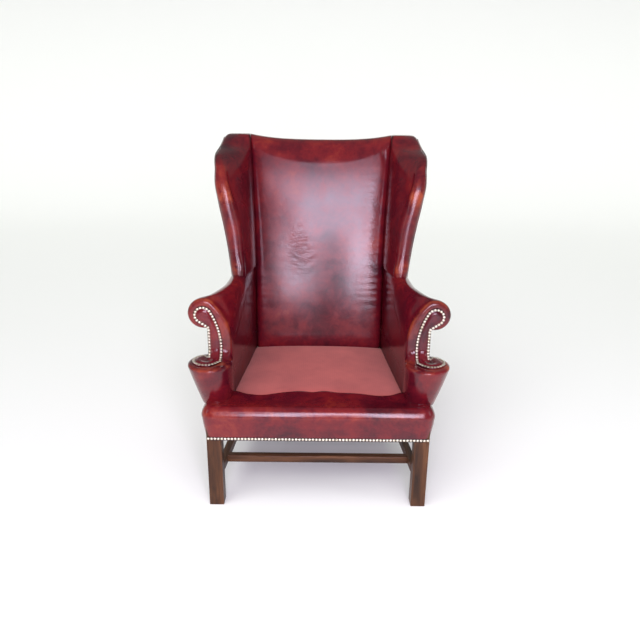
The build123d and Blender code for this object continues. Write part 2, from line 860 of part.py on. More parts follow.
def wing_section(index, inset, drop=0.0):
    """Level section of the right wing, inset from the leather's outside."""
    z, front, outer, inner, turn = wing_corners(index, inset)
    tip = ((inner + outer) / 2, front + inset)
    turn_in = turn - inset
    centre_y = front + turn
    seam = (seam_half(z) + inset, back_y(z, -back_pad_edge_depth) + inset)
    seam_rear = (seam_half(z) + inset, back_y(z, post_depth) + overrun)
    outer_rear = (back_outer(z) - inset, back_y(z, post_depth) + overrun)
    nose_in = (inner + inset, centre_y)
    nose_out = (outer - inset, centre_y)
    length = hypot(seam[0] - nose_in[0], seam[1] - nose_in[1])
    face_arc = bulged(seam, nose_in, length * wing_crown_share, left_normal(nose_in, seam))
    arc_in = (tip[0] - turn_in * cos(pi / 4), centre_y - turn_in * sin(pi / 4))
    arc_out = (tip[0] + turn_in * cos(pi / 4), centre_y - turn_in * sin(pi / 4))
    points = [
        (face_arc, nose_in),
        (arc_in, tip),
        (arc_out, nose_out),
        (outer_rear,),
        (seam_rear,),
        (seam,),
    ]
    return outline_points([tuple((x, y, z - drop) for x, y in point) for point in points])


def wing_form(inset, drop=0.0):
    """Right wing to the given inset, ended at the raked back."""
    sections = [wing_section(i, inset) for i in range(len(wing_level_shares))]
    if drop:
        sections.insert(0, wing_section(0, inset, drop))
    return cut(skin(sections), back_cut, post_cut)


def wing_wall(index, near, far, start_share):
    """Level strip along the wing's outside, between two distances off it."""
    z, front, outer, inner, turn = wing_corners(index, 0.0)
    y0 = front + turn + wing_roll * start_share
    y1 = back_y(z, post_depth) + overrun
    x0 = between(outer, back_outer(z), (y0 - front - turn) / (y1 - front - turn))
    x1 = back_outer(z)
    corners = [(x0 + near, y0), (x0 + far, y0), (x1 + far, y1), (x1 + near, y1)]
    return [Vector(x, y, z) for x, y in corners]


def wing_strip(near, far, start_share, levels):
    strip = skin([wing_wall(i, near, far, start_share) for i in levels], (2,))
    return cut(strip, back_cut)


# Inside back: upright sections from the middle outwards, leaning with the posts
back_station_shares = [-1.0, -0.7, -0.35, 0.0, 0.35, 0.7, 1.0]


def crest_height(share):
    """Top of the leather over the crest rail, at a share of the way out to the seam."""
    return crest_top + crest_ear_rise * abs(share) ** 3


def back_section(share, inset, open_by):
    x = back_seam_high * share
    edge = share**2
    depth = between(back_pad_depth, back_pad_edge_depth, edge) - inset
    top = crest_height(share) - inset
    shoulder = top - back_pad_depth
    low = arm_bottom - open_by
    front_low = (back_y(low, -depth), low)
    front_high = (back_y(shoulder, -depth), shoulder)
    over = (back_y(top, crest_over), top)
    front_arc = bulged(front_low, front_high, back_pad_crown, (-1.0, 0.0))
    over_arc = bulged(front_high, over, back_pad_depth / 3, left_normal(front_high, over))
    rear_high_z = top - crest_fall
    rear_high = (back_y(rear_high_z, post_depth - inset), rear_high_z)
    rear_low = (back_y(crest_rail_bottom - open_by, post_depth - inset), crest_rail_bottom - open_by)
    notch = (back_y(crest_rail_bottom - open_by, open_by), crest_rail_bottom - open_by)
    rear_foot = (back_y(low, open_by), low)
    points = [
        (front_low,),
        (front_arc, front_high),
        (over_arc, over),
        (rear_high,),
        (rear_low,),
        (notch,),
        (rear_foot,),
    ]
    return outline_wire([tuple((x, y, z) for y, z in point) for point in points])


def back_form(inset, open_by=0.0):
    return loft([back_section(share, inset, open_by) for share in back_station_shares])


# Front band: level sections give the share of the band's height and of its bulge
roll_top = rail_top + roll_height
band_level_shares = [
    (0.000, 0.00),
    (0.118, 0.00),
    (0.280, 0.55),
    (0.440, 1.00),
    (0.830, 1.00),
    (0.930, 0.62),
    (0.985, -0.35),
    (1.000, -1.40),
]
band_rear_y = arm_front_y - clearance


def band_plan(offset, z, rear_y):
    """Level outline round the front of the seat, offset from the legs' faces."""
    turn = max(leg_edge_radius + offset, leg_edge_radius / 2)
    centre_x = leg_half_span + offset - turn
    centre_y = turn - offset
    right = [
        (half(rear_y) + offset, rear_y),
        (leg_half_span + offset, front_leg_side),
        (centre_x + turn, centre_y),
        (centre_x, -offset),
    ]
    arc = (centre_x + turn * cos(pi / 4), centre_y - turn * sin(pi / 4))
    points = [
        (right[0],),
        (right[1],),
        (right[2],),
        (arc, right[3]),
        ((-centre_x, -offset),),
        ((-arc[0], arc[1]), (-right[2][0], centre_y)),
        ((-right[1][0], front_leg_side),),
        ((-right[0][0], rear_y),),
    ]
    return outline_points([tuple((x, y, z) for x, y in point) for point in points])


def band_form(inset, drop=0.0, rear_y=band_rear_y, first=0):
    levels = band_level_shares[first:]
    sections = []
    for share, bulge in levels:
        offset = wire_clear + (band_bulge - wire_clear) * bulge - inset
        sections.append(band_plan(offset, between(hem_height, roll_top, share) - inset * share**2, rear_y))
    if drop:
        offset = wire_clear - inset
        sections.insert(0, band_plan(offset, hem_height - drop, rear_y))
    return skin(sections)


# Seat deck: upright sections from the front roll to the inside back
deck_station_shares = (0.0, 0.5, 1.0)
deck_front_y = lip_y + deck_gap
deck_rear_y = back_y(arm_bottom, -back_pad_depth) - deck_gap


def deck_section(share, inset, drop):
    y = between(deck_front_y, deck_rear_y, share)
    side = between(deck_front_half, deck_rear_half, share) - inset
    edge = arm_bottom + between(deck_front_edge, deck_rear_edge, share) - inset
    low = arm_bottom - drop
    top = ((0.0, y, edge + deck_crown), (-side, y, edge))
    return outline_wire([((side, y, low),), ((side, y, edge),), top, ((-side, y, low),)])


def deck_form(inset, drop=0.0):
    return loft([deck_section(share, inset, drop) for share in deck_station_shares])


# Upholstery of the right side
arm_grown = arm_form(-clearance)
cone_grown = cone_form(-clearance)
wing_grown = wing_form(-clearance)

stem_low = arm_stem(0, 0.0)[0]
stem_high = arm_stem(wing_station, 0.0)[0]
wall_plan = [
    (half(0.0) - arm_wall / 2, 0.0),
    (half(0.0) + arm_wall, 0.0),
    (half(wing_foot_y * 2) + arm_wall, wing_foot_y * 2),
    (half(wing_foot_y * 2) - arm_wall / 2, wing_foot_y * 2),
]
wall_side = [
    (0.0, rail_bottom),
    (wing_foot_y * 2, rail_bottom),
    (wing_foot_y * 2, stem_high[1] - seam_lap),
    (wing_foot_y, stem_high[1] - seam_lap),
    (0.0, stem_low[1] - seam_lap),
]
arm_wall_opening = plan_prism(wall_plan, rail_bottom, arm_top) & side_prism(wall_side, 0.0, leg_half_span * 2)

arm_cover = cut(arm_form(0.0), arm_form(leather, overrun, overrun), arm_wall_opening)
arm_cover = cut(arm_cover, wing_post, arm_post_body(clearance))
arm_pad = cut(arm_form(wire_clear), arm_post_body(clearance), arm_rail, wing_post)

cone_cover = cut(cone_form(0.0), cone_form(leather, overrun), arm_grown)
cone_block = cut(cone_form(wire_clear), arm_grown)

levels = range(len(wing_level_shares))
wing_opening = wing_strip(-leather * 2, leg_half_span, wrap_share, levels)
wing_cover = cut(wing_form(0.0), wing_form(leather, overrun), wing_opening, crest_blank)
wing_pad = cut(wing_form(wire_clear), wing_post, wing_rail, crest_blank)


def outside_arm_panel():
    """Leather over the outside of the arm, from the hem up to the roll's underside."""
    sections = []
    for index in range(len(arm_station_shares)):
        y = arm_y(index)
        line = half(y) + clearance * 2
        stem = arm_stem(index, 0.0)[0]
        inner = [(line, hem_height), (line, arm_bottom), (stem[0] + clearance, stem[1])]
        outer = [(x + leather, z) for x, z in reversed(inner)]
        sections.append([Vector(x, y, z) for x, z in inner + outer])
    return cut(skin(sections, (4, 5)), back_cut, cone_grown)


outside_wing_panel = wing_strip(panel_gap, panel_gap + leather, 0.0, levels)
outside_arm = outside_arm_panel()


# Leather facing: up the front of the arm, round the scroll, and forward over the shelf
face_y = arm_front_y - clearance
facing_top = shelf_height + clearance
scroll_x = head_x - clearance
scroll_z = head_z - leather
scroll_share = 0.61
scroll_radius = roll_radius * scroll_share
scroll_turns = (152.0, 96.0, 40.0, -14.0, -68.0)
stem_neck_share = 1.4
stem_bow_share = 0.16


def facing_front_outline():
    """Front outline of the facing above the bend: a stem that curls outwards into a round head."""
    lean_z = bend_z + nail_line
    start = on_circle(scroll_x, scroll_z, scroll_radius, scroll_turns[0])
    crown = on_circle(scroll_x, scroll_z, scroll_radius, scroll_turns[2])
    tail = on_circle(scroll_x, scroll_z, scroll_radius, scroll_turns[4])
    stem_top = (facing_outer, scroll_z - scroll_radius * stem_neck_share)
    low = (facing_inner, lean_z)
    stem_arc = bulged(low, start, roll_radius * stem_bow_share, left_normal(low, start))
    points = [
        ((facing_inner, shelf_height - leather),),
        (low,),
        (stem_arc, start),
        (on_circle(scroll_x, scroll_z, scroll_radius, scroll_turns[1]), crown),
        (on_circle(scroll_x, scroll_z, scroll_radius, scroll_turns[3]), tail),
        (stem_top,),
        ((facing_outer, shelf_height - leather),),
    ]
    return outline_wire([tuple((x, 0.0, z) for x, z in point) for point in points])


def facing_bent_sheet():
    """Sheet that runs down the stem, round the hollow bend and a little onto the shelf."""
    top = arm_top
    outer = facing_bend - clearance
    inner = outer - facing_thickness
    points = [
        ((face_y, top),),
        ((face_y, bend_z),),
        (on_circle(bend_y, bend_z, outer, -45), (bend_y, facing_top)),
        ((bend_y, facing_top + facing_thickness),),
        (on_circle(bend_y, bend_z, inner, -45), (face_y - facing_thickness, bend_z)),
        ((face_y - facing_thickness, top),),
    ]
    outline = outline_wire([tuple((0.0, y, z) for y, z in point) for point in points])
    return Solid.extrude(Face(outline), Vector(cone_top_x + roll_radius * 2, 0, 0))


shelf_x = cone_top_x + nail_line * 2
shelf_y = cone_top_y + nail_line
shelf_share = 0.68
shelf_radius = cone_top_radius * shelf_share
shelf_turns = (230.0, 270.0, 315.0, 360.0, 387.0, 415.0)


def facing_shelf_outline():
    """Plan outline of the facing on top of the cone."""
    start = (facing_inner, bend_y)
    front = on_circle(shelf_x, shelf_y, shelf_radius, shelf_turns[1])
    side = on_circle(shelf_x, shelf_y, shelf_radius, shelf_turns[3])
    rear = on_circle(shelf_x, shelf_y, shelf_radius, shelf_turns[5])
    points = [
        (start,),
        (on_circle(shelf_x, shelf_y, shelf_radius, shelf_turns[0]), front),
        (on_circle(shelf_x, shelf_y, shelf_radius, shelf_turns[2]), side),
        (on_circle(shelf_x, shelf_y, shelf_radius, shelf_turns[4]), rear),
        ((facing_outer + clearance, rear[1] + nail_line),),
        ((facing_outer + clearance, bend_y),),
        ((facing_outer, bend_y),),
    ]
    return outline_wire([tuple((x, y, facing_top) for x, y in point) for point in points])


front_outline = Solid.extrude(Face(facing_front_outline()), Vector(0, arm_front_y, 0))
shelf_plate = Solid.extrude(Face(facing_shelf_outline()), Vector(0, 0, facing_thickness))
facing = gather((facing_bent_sheet() & front_outline) + cut(shelf_plate, arm_grown))
outside_arm = cut(outside_arm, facing)

# Inside back, outside back and the pads behind them
right_forms = (arm_grown, wing_grown)
left_forms = tuple(left_of(form) for form in right_forms)
back_cover = cut(back_form(0.0), back_form(leather, overrun), *right_forms, *left_forms)
webbing_front = raked_slab(
    -leg_half_span, leg_half_span, -webbing - clearance, leg_half_span, rail_top, crest_rail_bottom
)
back_pad = cut(back_form(wire_clear), webbing_front, crest_blank, *right_forms, *left_forms)


def back_straps():
    """Webbing over the fronts of the posts and between the crest and lower rails."""
    reach = lower_rail_half + post_width / 2
    span = crest_rail_bottom - lower_rail_bottom - lower_rail_height
    pitch = span / back_strap_count
    straps = []
    for i in range(back_strap_count):
        z0 = lower_rail_bottom + lower_rail_height + pitch * (i + 1 / 2) - strap_width / 2
        straps.append(raked_slab(-reach, reach, -webbing, 0.0, z0, z0 + strap_width))
    return gather(*straps)


back_webbing = cut(back_straps(), *right_forms, *left_forms)


def outside_back():
    """Outside back: a raked leather panel that hangs straight over the rear seat rail."""
    near = post_depth + clearance
    far = near + leather
    top = crest_top - crest_padding
    side = [
        (back_y(rail_top, near), hem_height),
        (back_y(rail_top, near), rail_top),
        (back_y(top, near), top),
        (back_y(top, far), top),
        (back_y(rail_top, far), rail_top),
        (back_y(rail_top, far), hem_height),
    ]
    right = [(post_waist_half, hem_height), (post_waist_half, post_waist_z), (post_top_half, crest_rail_seat)]
    right.append((post_top_half, top))
    front = right + [(-x, z) for x, z in reversed(right)]
    panel = side_prism(side, -leg_half_span, leg_half_span)
    panel = panel & front_prism(front, post_front_y, back_y(wing_top, leg_half_span))
    return cut(panel, rear_leg, left_of(rear_leg))


outside_back_cover = outside_back()

# Seat: webbing, coil springs, canvas, deck pad and cloth
strap_low = rail_bottom - 2 * webbing
strap_mid = rail_bottom - webbing
strap_pitch = (2 * leg_inner_x - strap_width) / strap_count
strap_y0 = rail_setback + rail_thickness + strap_width
strap_y_pitch = (rear_rail_y - block_reach - strap_y0) / strap_count


def seat_straps():
    straps = []
    for i in range(strap_count):
        x = (i - (strap_count - 1) / 2) * strap_pitch
        y1 = rear_rail_y + rail_thickness - rail_setback
        x0, x1 = x - strap_width / 2, x + strap_width / 2
        straps.append(box(x0, x1, rail_setback * 2, y1, strap_mid, rail_bottom))
        y = strap_y0 + strap_y_pitch * (i + 1 / 2)
        y0, y1 = y - strap_width / 2, y + strap_width / 2
        reach = half(y1) - rail_setback
        straps.append(box(-reach, reach, y0, y1, strap_low, strap_mid))
    return gather(*straps)


def coil_spring():
    """Hourglass coil of square-cut wire, standing on the webbing under the canvas."""
    sections = []
    steps = spring_turns * spring_sides
    z0 = rail_bottom + spring_wire / 2
    z1 = rail_top - clearance - spring_wire / 2
    for i in range(steps + 1):
        along = i / steps
        radius = between(spring_waist, spring_radius, abs(2 * along - 1))
        z = between(z0, z1, along)
        turn = 2 * pi * i / spring_sides
        w = spring_wire / 2
        corners = [(radius - w, z - w), (radius + w, z - w), (radius + w, z + w), (radius - w, z + w)]
        sections.append([Vector(r * cos(turn), r * sin(turn), h) for r, h in corners])
    return skin(sections)


def seat_spring_set():
    spring = coil_spring()
    springs = []
    for i in range(spring_rows):
        x = (i - (spring_rows - 1) / 2) * strap_pitch * (strap_count - 1) / (spring_rows - 1)
        for j in range(spring_rows):
            row = j * (strap_count - 1) / (spring_rows - 1)
            y = strap_y0 + strap_y_pitch * (row + 1 / 2)
            springs.append(Pos(x, y, 0) * spring)
    return gather(*springs)


canvas_front_y = rail_setback + rail_thickness - webbing_lap
canvas_rear_y = rear_rail_y + webbing_lap
canvas_plan = [
    (half(canvas_front_y) - rail_thickness + webbing_lap, canvas_front_y),
    (half(canvas_rear_y) - rail_thickness + webbing_lap, canvas_rear_y),
]
canvas_plan += [(-x, y) for x, y in reversed(canvas_plan)]
spring_canvas = plan_prism(canvas_plan, rail_top, rail_top + cloth)
spring_canvas = cut(spring_canvas, arm_post, left_of(arm_post), back_post, left_of(back_post))

deck_cloth = cut(deck_form(0.0), deck_form(cloth, overrun))
deck_pad = deck_form(cloth + clearance)

dust_plan = [
    (half(rail_setback) - rail_setback, rail_setback * 2),
    (half(rear_rail_y + rail_thickness) - rail_setback, rear_rail_y + rail_thickness - rail_setback),
]
dust_plan += [(-x, y) for x, y in reversed(dust_plan)]
dust_cover = plan_prism(dust_plan, strap_low - cloth, strap_low)
dust_cover = cut(dust_cover, front_leg, left_of(front_leg), rear_leg, left_of(rear_leg))

# Front roll stuffing and the leather band over it
cones = (cone_grown, left_of(cone_grown))
lip_opening = box(-leg_inner_x, leg_inner_x, lip_y, arm_front_y, rail_top, arm_top)
band_cover = cut(band_form(0.0), band_form(leather, overrun, band_rear_y + overrun), lip_opening, *cones)
frame_plan = band_plan(clearance, rail_bottom, band_rear_y + overrun)
frame_block = Solid.extrude(facet(*frame_plan), Vector(0, 0, rail_top - rail_bottom))
front_roll = cut(band_form(wire_clear, rear_y=band_rear_y - clearance, first=2), frame_block)
front_roll = cut(front_roll, lip_opening, spring_canvas, *cones)


# Brass nails: low faceted heads that lie on the leather
def nail_head():
    base = ring(0.0, 0.0, 0.0, nail_diameter / 2, nail_sides)
    tip = Vector(0.0, 0.0, nail_height)
    return Solid(Shell([facet(*base)] + [facet(a, b, tip) for a, b in zip(base, base[1:] + base[:1])]))


def nail_row(points, normal):
    """Nails at points of one flat face."""
    head = nail_head()
    return [Plane(origin=p, z_dir=normal).location * head for p in points]


def even_shares(length):
    """Shares of a run at which nails stand, one pitch apart as near as it divides."""
    count = max(round(length / nail_pitch), 1)
    return [i / count for i in range(count + 1)]


def front_nails():
    reach = leg_half_span - nail_line
    z = hem_height + nail_line
    points = [(between(-reach, reach, t), -wire_clear, z) for t in even_shares(2 * reach)]
    return gather(*nail_row(points, (0, -1, 0)))


def side_nails():
    """Nails along the foot of the outside arm, on its flat leather."""
    y0 = arm_front_y + nail_line
    y1 = post_front_y + post_depth - nail_line
    z = hem_height + nail_line
    off = clearance * 2 + leather
    points = [(half(y) + off, y, z) for y in (between(y0, y1, t) for t in even_shares(y1 - y0))]
    return gather(*nail_row(points, (1, seat_taper, 0)))


def upright(*points):
    """Points of a front outline as space points."""
    return [Vector(x, 0, z) for x, z in points]


def facing_nails():
    """Nails inside the facing's edge: up the stem, round the scroll, down and over the shelf."""
    front_y = face_y - facing_thickness
    radius = scroll_radius - nail_line / 2
    low = (facing_stem_inner, bend_z + nail_diameter / 2)
    start = on_circle(scroll_x, scroll_z, radius, scroll_turns[0])
    stem_top = (facing_stem_outer - nail_line / 2, scroll_z - scroll_radius * stem_neck_share)
    stem_foot = (stem_top[0], low[1])
    tail = on_circle(scroll_x, scroll_z, radius, nail_turn_end)
    arc = bulged(low, start, roll_radius * stem_bow_share, left_normal(low, start))
    turns = (scroll_turns[0], nail_turn_middle, nail_turn_end)
    ring_points = [on_circle(scroll_x, scroll_z, radius, turn) for turn in turns]
    stem = Edge.make_three_point_arc(*upright(low, arc, start))
    head = Edge.make_three_point_arc(*upright(*ring_points))
    neck = Edge.make_line(*upright(tail, stem_top))
    outer_stem = Edge.make_line(*upright(stem_top, stem_foot))
    heads = []
    skip = 0
    for edge in (stem, head, neck, outer_stem):
        points = [edge.position_at(t) for t in even_shares(edge.length)][skip:]
        heads += nail_row([(p.X, front_y, p.Z) for p in points], (0, -1, 0))
        skip = 1
    heads += bend_nails(facing_stem_inner, 90.0)
    heads += shelf_nails()
    return gather(*heads)


def bend_nails(x, end):
    """Nails down the hollow bend at one side of the stem, to an angle in degrees."""
    radius = facing_bend - clearance - facing_thickness
    head = nail_head()
    heads = []
    flat = sqrt(radius**2 - (nail_diameter / 2) ** 2) - clearance / 3
    for t in even_shares(radius * radians(end))[1:]:
        turn = radians(end * t)
        origin = (x, bend_y + flat * cos(turn), bend_z - flat * sin(turn))
        heads.append(Plane(origin=origin, z_dir=(0, -cos(turn), sin(turn))).location * head)
    return heads


def shelf_nails():
    """Nails round the shelf's edge, from the stem's inner side to its outer side."""
    radius = shelf_radius - nail_line / 2
    start, end = shelf_nail_start, shelf_turns[5]
    z = facing_top + facing_thickness
    shares = even_shares(radius * radians(end - start))
    points = [on_circle(shelf_x, shelf_y, radius, between(start, end, t)) for t in shares]
    return nail_row([(x, y, z) for x, y in points], (0, 0, 1))


paired = {
    "front_leg": front_leg,
    "rear_leg": rear_leg,
    "side_stretcher": side_stretcher,
    "side_seat_rail": side_rail,
    "back_post": back_post,
    "arm_post": arm_post,
    "arm_rail": arm_rail,
    "wing_post": wing_post,
    "wing_rail": wing_rail,
    "cone_block": cone_block,
    "arm_pad": arm_pad,
    "arm_cover": arm_cover,
    "cone_cover": cone_cover,
    "wing_pad": wing_pad,
    "wing_cover": wing_cover,
    "outside_cover": gather(outside_arm, outside_wing_panel),
    "arm_facing": facing,
    "facing_nails": facing_nails(),
    "side_nails": side_nails(),
}
single = {
    "cross_stretcher": cross_stretcher,
    "rear_stretcher": rear_stretcher,
    "front_seat_rail": front_rail,
    "rear_seat_rail": rear_rail,
    "corner_blocks": corner_blocks,
    "crest_rail": crest_rail,
    "lower_back_rail": lower_back_rail,
    "seat_webbing": seat_straps(),
    "seat_springs": seat_spring_set(),
    "spring_canvas": spring_canvas,
    "deck_pad": deck_pad,
    "deck_cloth": deck_cloth,
    "front_roll": front_roll,
    "front_band_cover": band_cover,
    "dust_cover": dust_cover,
    "back_webbing": back_webbing,
    "back_pad": back_pad,
    "inside_back_cover": back_cover,
    "outside_back_cover": outside_back_cover,
    "front_nails": front_nails(),
}

parts = dict(single)
for name, shape in paired.items():
    parts[f"{name}_right"] = shape
    parts[f"{name}_left"] = left_of(shape)

whole = Compound([solid for shape in parts.values() for solid in shape.solids()]).bounding_box()
to_origin = Pos(-(whole.min.X + whole.max.X) / 2, -(whole.min.Y + whole.max.Y) / 2, -whole.min.Z)

os.makedirs("parts", exist_ok=True)
for name, shape in parts.items():
    export_step(to_origin * gather(shape), f"parts/{name}.step")
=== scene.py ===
from math import acos, atan2, copysign, cos, degrees, exp, hypot, pi, radians, sin, sqrt, tan

import bmesh
import bpy
import numpy as np
from mathutils import Matrix, Vector, geometry


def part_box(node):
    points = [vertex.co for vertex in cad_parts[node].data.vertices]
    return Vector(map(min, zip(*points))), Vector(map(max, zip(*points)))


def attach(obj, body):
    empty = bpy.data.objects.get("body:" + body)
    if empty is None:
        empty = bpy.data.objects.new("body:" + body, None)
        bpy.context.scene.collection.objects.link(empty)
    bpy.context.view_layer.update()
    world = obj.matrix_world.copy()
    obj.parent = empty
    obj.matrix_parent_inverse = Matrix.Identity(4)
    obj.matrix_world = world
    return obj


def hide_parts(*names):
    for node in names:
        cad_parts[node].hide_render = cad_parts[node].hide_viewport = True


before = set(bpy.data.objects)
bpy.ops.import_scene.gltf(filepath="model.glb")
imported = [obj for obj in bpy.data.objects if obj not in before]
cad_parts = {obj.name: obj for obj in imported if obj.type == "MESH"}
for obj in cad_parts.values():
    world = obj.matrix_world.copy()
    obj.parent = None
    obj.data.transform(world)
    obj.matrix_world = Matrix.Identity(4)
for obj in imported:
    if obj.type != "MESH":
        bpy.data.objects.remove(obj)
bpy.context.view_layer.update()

# Lengths are in millimetres in the workshop frame: X to the viewer's right, Y back from the
# front legs' front faces, Z up. place() turns them into the row frame's metres.
MM = 0.001
Y_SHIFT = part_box("front_leg_right")[0][1]
SIDES = {"right": 1.0, "left": -1.0}

LEG_HALF, LEG_SIDE = 362.0, 48.0
SEAT_TAPER = 0.0918
POST_Y, POST_DEPTH = 571.0, 38.0
RAKE = tan(radians(10.8))
HEM, RAIL_TOP = 248.0, 340.0
ARM_TOP, WING_TOP, CREST_TOP, EAR_RISE = 688.0, 1154.0, 1135.0, 18.0
ARM_FRONT, ARM_WALL, ARM_LEAN, ROLL = 120.0, 73.0, 3.0, 50.5
WING_FOOT_Y, WING_FLARE, WING_SWEEP, WING_ROLL = 398.0, 42.5, 58.0, 46.0
WAIST_HALF, WAIST_Z, TOP_HALF, TOP_Z = 310.5, 690.0, 348.0, 1085.0
SHELF, BEND = 488.0, 40.0
STEM_IN, STEM_OUT = 318.0, 360.0
BEND_Y, BEND_Z = ARM_FRONT - BEND, SHELF + BEND
# The wing's seam with the inside back stands this far in front of the back posts.
SEAM_DEPTH = 34.0
# Solids start this far above the rails that they stand on.
FOOT_GAP = 2.0
VOXEL = 4.0
SLOPE = sqrt(0.5)


def place(points):
    """Workshop millimetres to row-frame metres."""
    out = np.array(points, float) * MM
    out[..., 1] += Y_SHIFT
    return out


def workshop(co):
    """A vertex's place in workshop millimetres."""
    return co.x / MM, (co.y - Y_SHIFT) / MM, co.z / MM


def ease(t):
    t = np.clip(t, 0.0, 1.0)
    return t * t * (3 - 2 * t)


def step(value, start, end):
    """Smooth rise from 0 at start to 1 at end."""
    return float(ease((value - start) / (end - start)))


def hump(value, centre, width):
    return exp(-(((value - centre) / width) ** 2))


def fade(gap, reach):
    """1 up to a gap of nought, then falling off over a reach."""
    return exp(-max(gap, 0.0) / reach)


def quarter(count):
    """Angles over a quarter turn, without the first."""
    return np.linspace(0, pi / 2, count)[1:]


def half(y):
    """Half the seat's width at a depth."""
    run = np.minimum(y, POST_Y + POST_DEPTH) - LEG_SIDE
    return LEG_HALF - SEAT_TAPER * np.maximum(run, 0.0)


def back_y(z, n=0.0):
    """Depth of the raked back posts' front faces, n further back."""
    return POST_Y + (z - RAIL_TOP) * RAKE + n


def back_outer(z):
    """Half the back's outside width at a height."""
    share = np.clip((z - WAIST_Z) / (TOP_Z - WAIST_Z), 0.0, 1.0)
    return WAIST_HALF + (TOP_HALF - WAIST_HALF) * share


def ear_out(z):
    """How much further out the leather stands at the wing's top rear corner."""
    return 13.0 * ease((np.asarray(z) - 1040.0) / 60.0)


def seam_half(z):
    """Half the width between the wings' seams at a height."""
    share = np.clip((z - RAIL_TOP) / (CREST_TOP - RAIL_TOP), 0.0, 1.1)
    return 239.0 + 23.0 * share**2


def smooth(xs, ys, x):
    """Curve through a table's values that doesn't overshoot them."""
    xs, ys, x = np.asarray(xs, float), np.asarray(ys, float), np.asarray(x, float)
    h = np.diff(xs)
    d = np.diff(ys) / h
    m = np.zeros_like(ys)
    m[0], m[-1] = d[0], d[-1]
    for i in range(1, len(ys) - 1):
        if d[i - 1] * d[i] > 0:
            w1, w2 = 2 * h[i] + h[i - 1], h[i] + 2 * h[i - 1]
            m[i] = (w1 + w2) / (w1 / d[i - 1] + w2 / d[i])
    k = np.clip(np.searchsorted(xs, x) - 1, 0, len(h) - 1)
    t = (x - xs[k]) / h[k]
    a = (2 * t**3 - 3 * t**2 + 1) * ys[k] + (t**3 - 2 * t**2 + t) * h[k] * m[k]
    return a + (3 * t**2 - 2 * t**3) * ys[k + 1] + (t**3 - t**2) * h[k] * m[k + 1]


def run_line(a, b, n):
    a, b = np.array(a, float), np.array(b, float)
    return [a + (b - a) * k / n for k in range(1, n + 1)]


def run_arc(a, m, b, n):
    """n points after a, along the circle through a, m and b."""
    a, m, b = (np.array(p, float) for p in (a, m, b))
    ma, mb = m - a, b - a
    cross = 2 * (ma[0] * mb[1] - ma[1] * mb[0])
    if abs(cross) < 1e-9:
        return run_line(a, b, n)
    qa, qb = ma @ ma, mb @ mb
    c = a + np.array([mb[1] * qa - ma[1] * qb, ma[0] * qb - mb[0] * qa]) / cross
    r = np.linalg.norm(a - c)
    t0 = atan2(a[1] - c[1], a[0] - c[0])
    t1 = atan2(b[1] - c[1], b[0] - c[0])
    turn = (t1 - t0) % (2 * pi)
    if cross < 0:
        turn -= 2 * pi
    angles = [t0 + turn * k / n for k in range(1, n + 1)]
    return [c + r * np.array([cos(angle), sin(angle)]) for angle in angles]


def bulged(a, b, rise):
    """Middle of an arc that stands rise to the left of the way from a to b."""
    a, b = np.array(a, float), np.array(b, float)
    d = b - a
    return (a + b) / 2 + rise * np.array([-d[1], d[0]]) / np.linalg.norm(d)


def mirrored(points, side):
    out = np.array(points, float)
    out[..., 0] *= side
    return out


def grid_mesh(rows, wrap=False, caps=False):
    """Quads over rows of points, in workshop millimetres."""
    rows = np.asarray(rows, float)
    count, width = rows.shape[:2]
    verts = place(rows.reshape(-1, 3))
    faces = []
    for r in range(count - 1):
        for c in range(width if wrap else width - 1):
            d = (c + 1) % width
            low, high = r * width, (r + 1) * width
            faces.append((low + c, low + d, high + d, high + c))
    if caps:
        faces.append(tuple(range(width)))
        faces.append(tuple((count - 1) * width + c for c in reversed(range(width))))
    mesh = bpy.data.meshes.new("grid")
    mesh.from_pydata([tuple(v) for v in verts], [], faces)
    return mesh


def tidy(mesh):
    """Outward normals and smooth shading."""
    bm = bmesh.new()
    bm.from_mesh(mesh)
    bmesh.ops.recalc_face_normals(bm, faces=bm.faces)
    bm.to_mesh(mesh)
    bm.free()
    shade(mesh)


def shade(mesh):
    for poly in mesh.polygons:
        poly.use_smooth = True


def joined(*meshes):
    bm = bmesh.new()
    for mesh in meshes:
        tidy(mesh)
        bm.from_mesh(mesh)
        bpy.data.meshes.remove(mesh)
    out = bpy.data.meshes.new("joined")
    bm.to_mesh(out)
    bm.free()
    return out


def add_object(name, data):
    obj = bpy.data.objects.new(name, data)
    bpy.context.scene.collection.objects.link(obj)
    return obj


def add_piece(name, mesh, material, slot, *nodes):
    obj = add_object(name, mesh)
    mesh.name = name
    mesh.materials.append(material)
    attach(obj, "root")
    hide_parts(*nodes)
    return obj


def add_leather(name, mesh, *nodes):
    return add_piece(name, mesh, LEATHER, "oxblood_leather", *nodes)


def baked(obj):
    """Applies the object's modifiers and takes them off."""
    graph = bpy.context.evaluated_depsgraph_get()
    graph.update()
    mesh = bpy.data.meshes.new_from_object(obj.evaluated_get(graph))
    old = obj.data
    obj.modifiers.clear()
    obj.data = mesh
    bpy.data.meshes.remove(old)
    shade(mesh)


def remeshed(obj, passes):
    """One skin over the object's overlapping solids, then smoothed."""
    mod = obj.modifiers.new("skin", "REMESH")
    mod.mode = "VOXEL"
    mod.voxel_size = VOXEL * MM
    mod.use_smooth_shade = True
    soft = obj.modifiers.new("soft", "SMOOTH")
    soft.iterations = passes
    baked(obj)


def smoothed(obj, weight, passes):
    """Smooths the object by a weight from the workshop x, y and z."""
    group = obj.vertex_groups.new(name="soft")
    for vertex in obj.data.vertices:
        group.add([vertex.index], weight(*workshop(vertex.co)), "REPLACE")
    soft = obj.modifiers.new("soft", "SMOOTH")
    soft.iterations = passes
    soft.vertex_group = "soft"
    baked(obj)
    obj.vertex_groups.clear()


def thickened(obj, thickness, offset):
    mod = obj.modifiers.new("thick", "SOLIDIFY")
    mod.thickness = thickness * MM
    mod.offset = offset
    baked(obj)


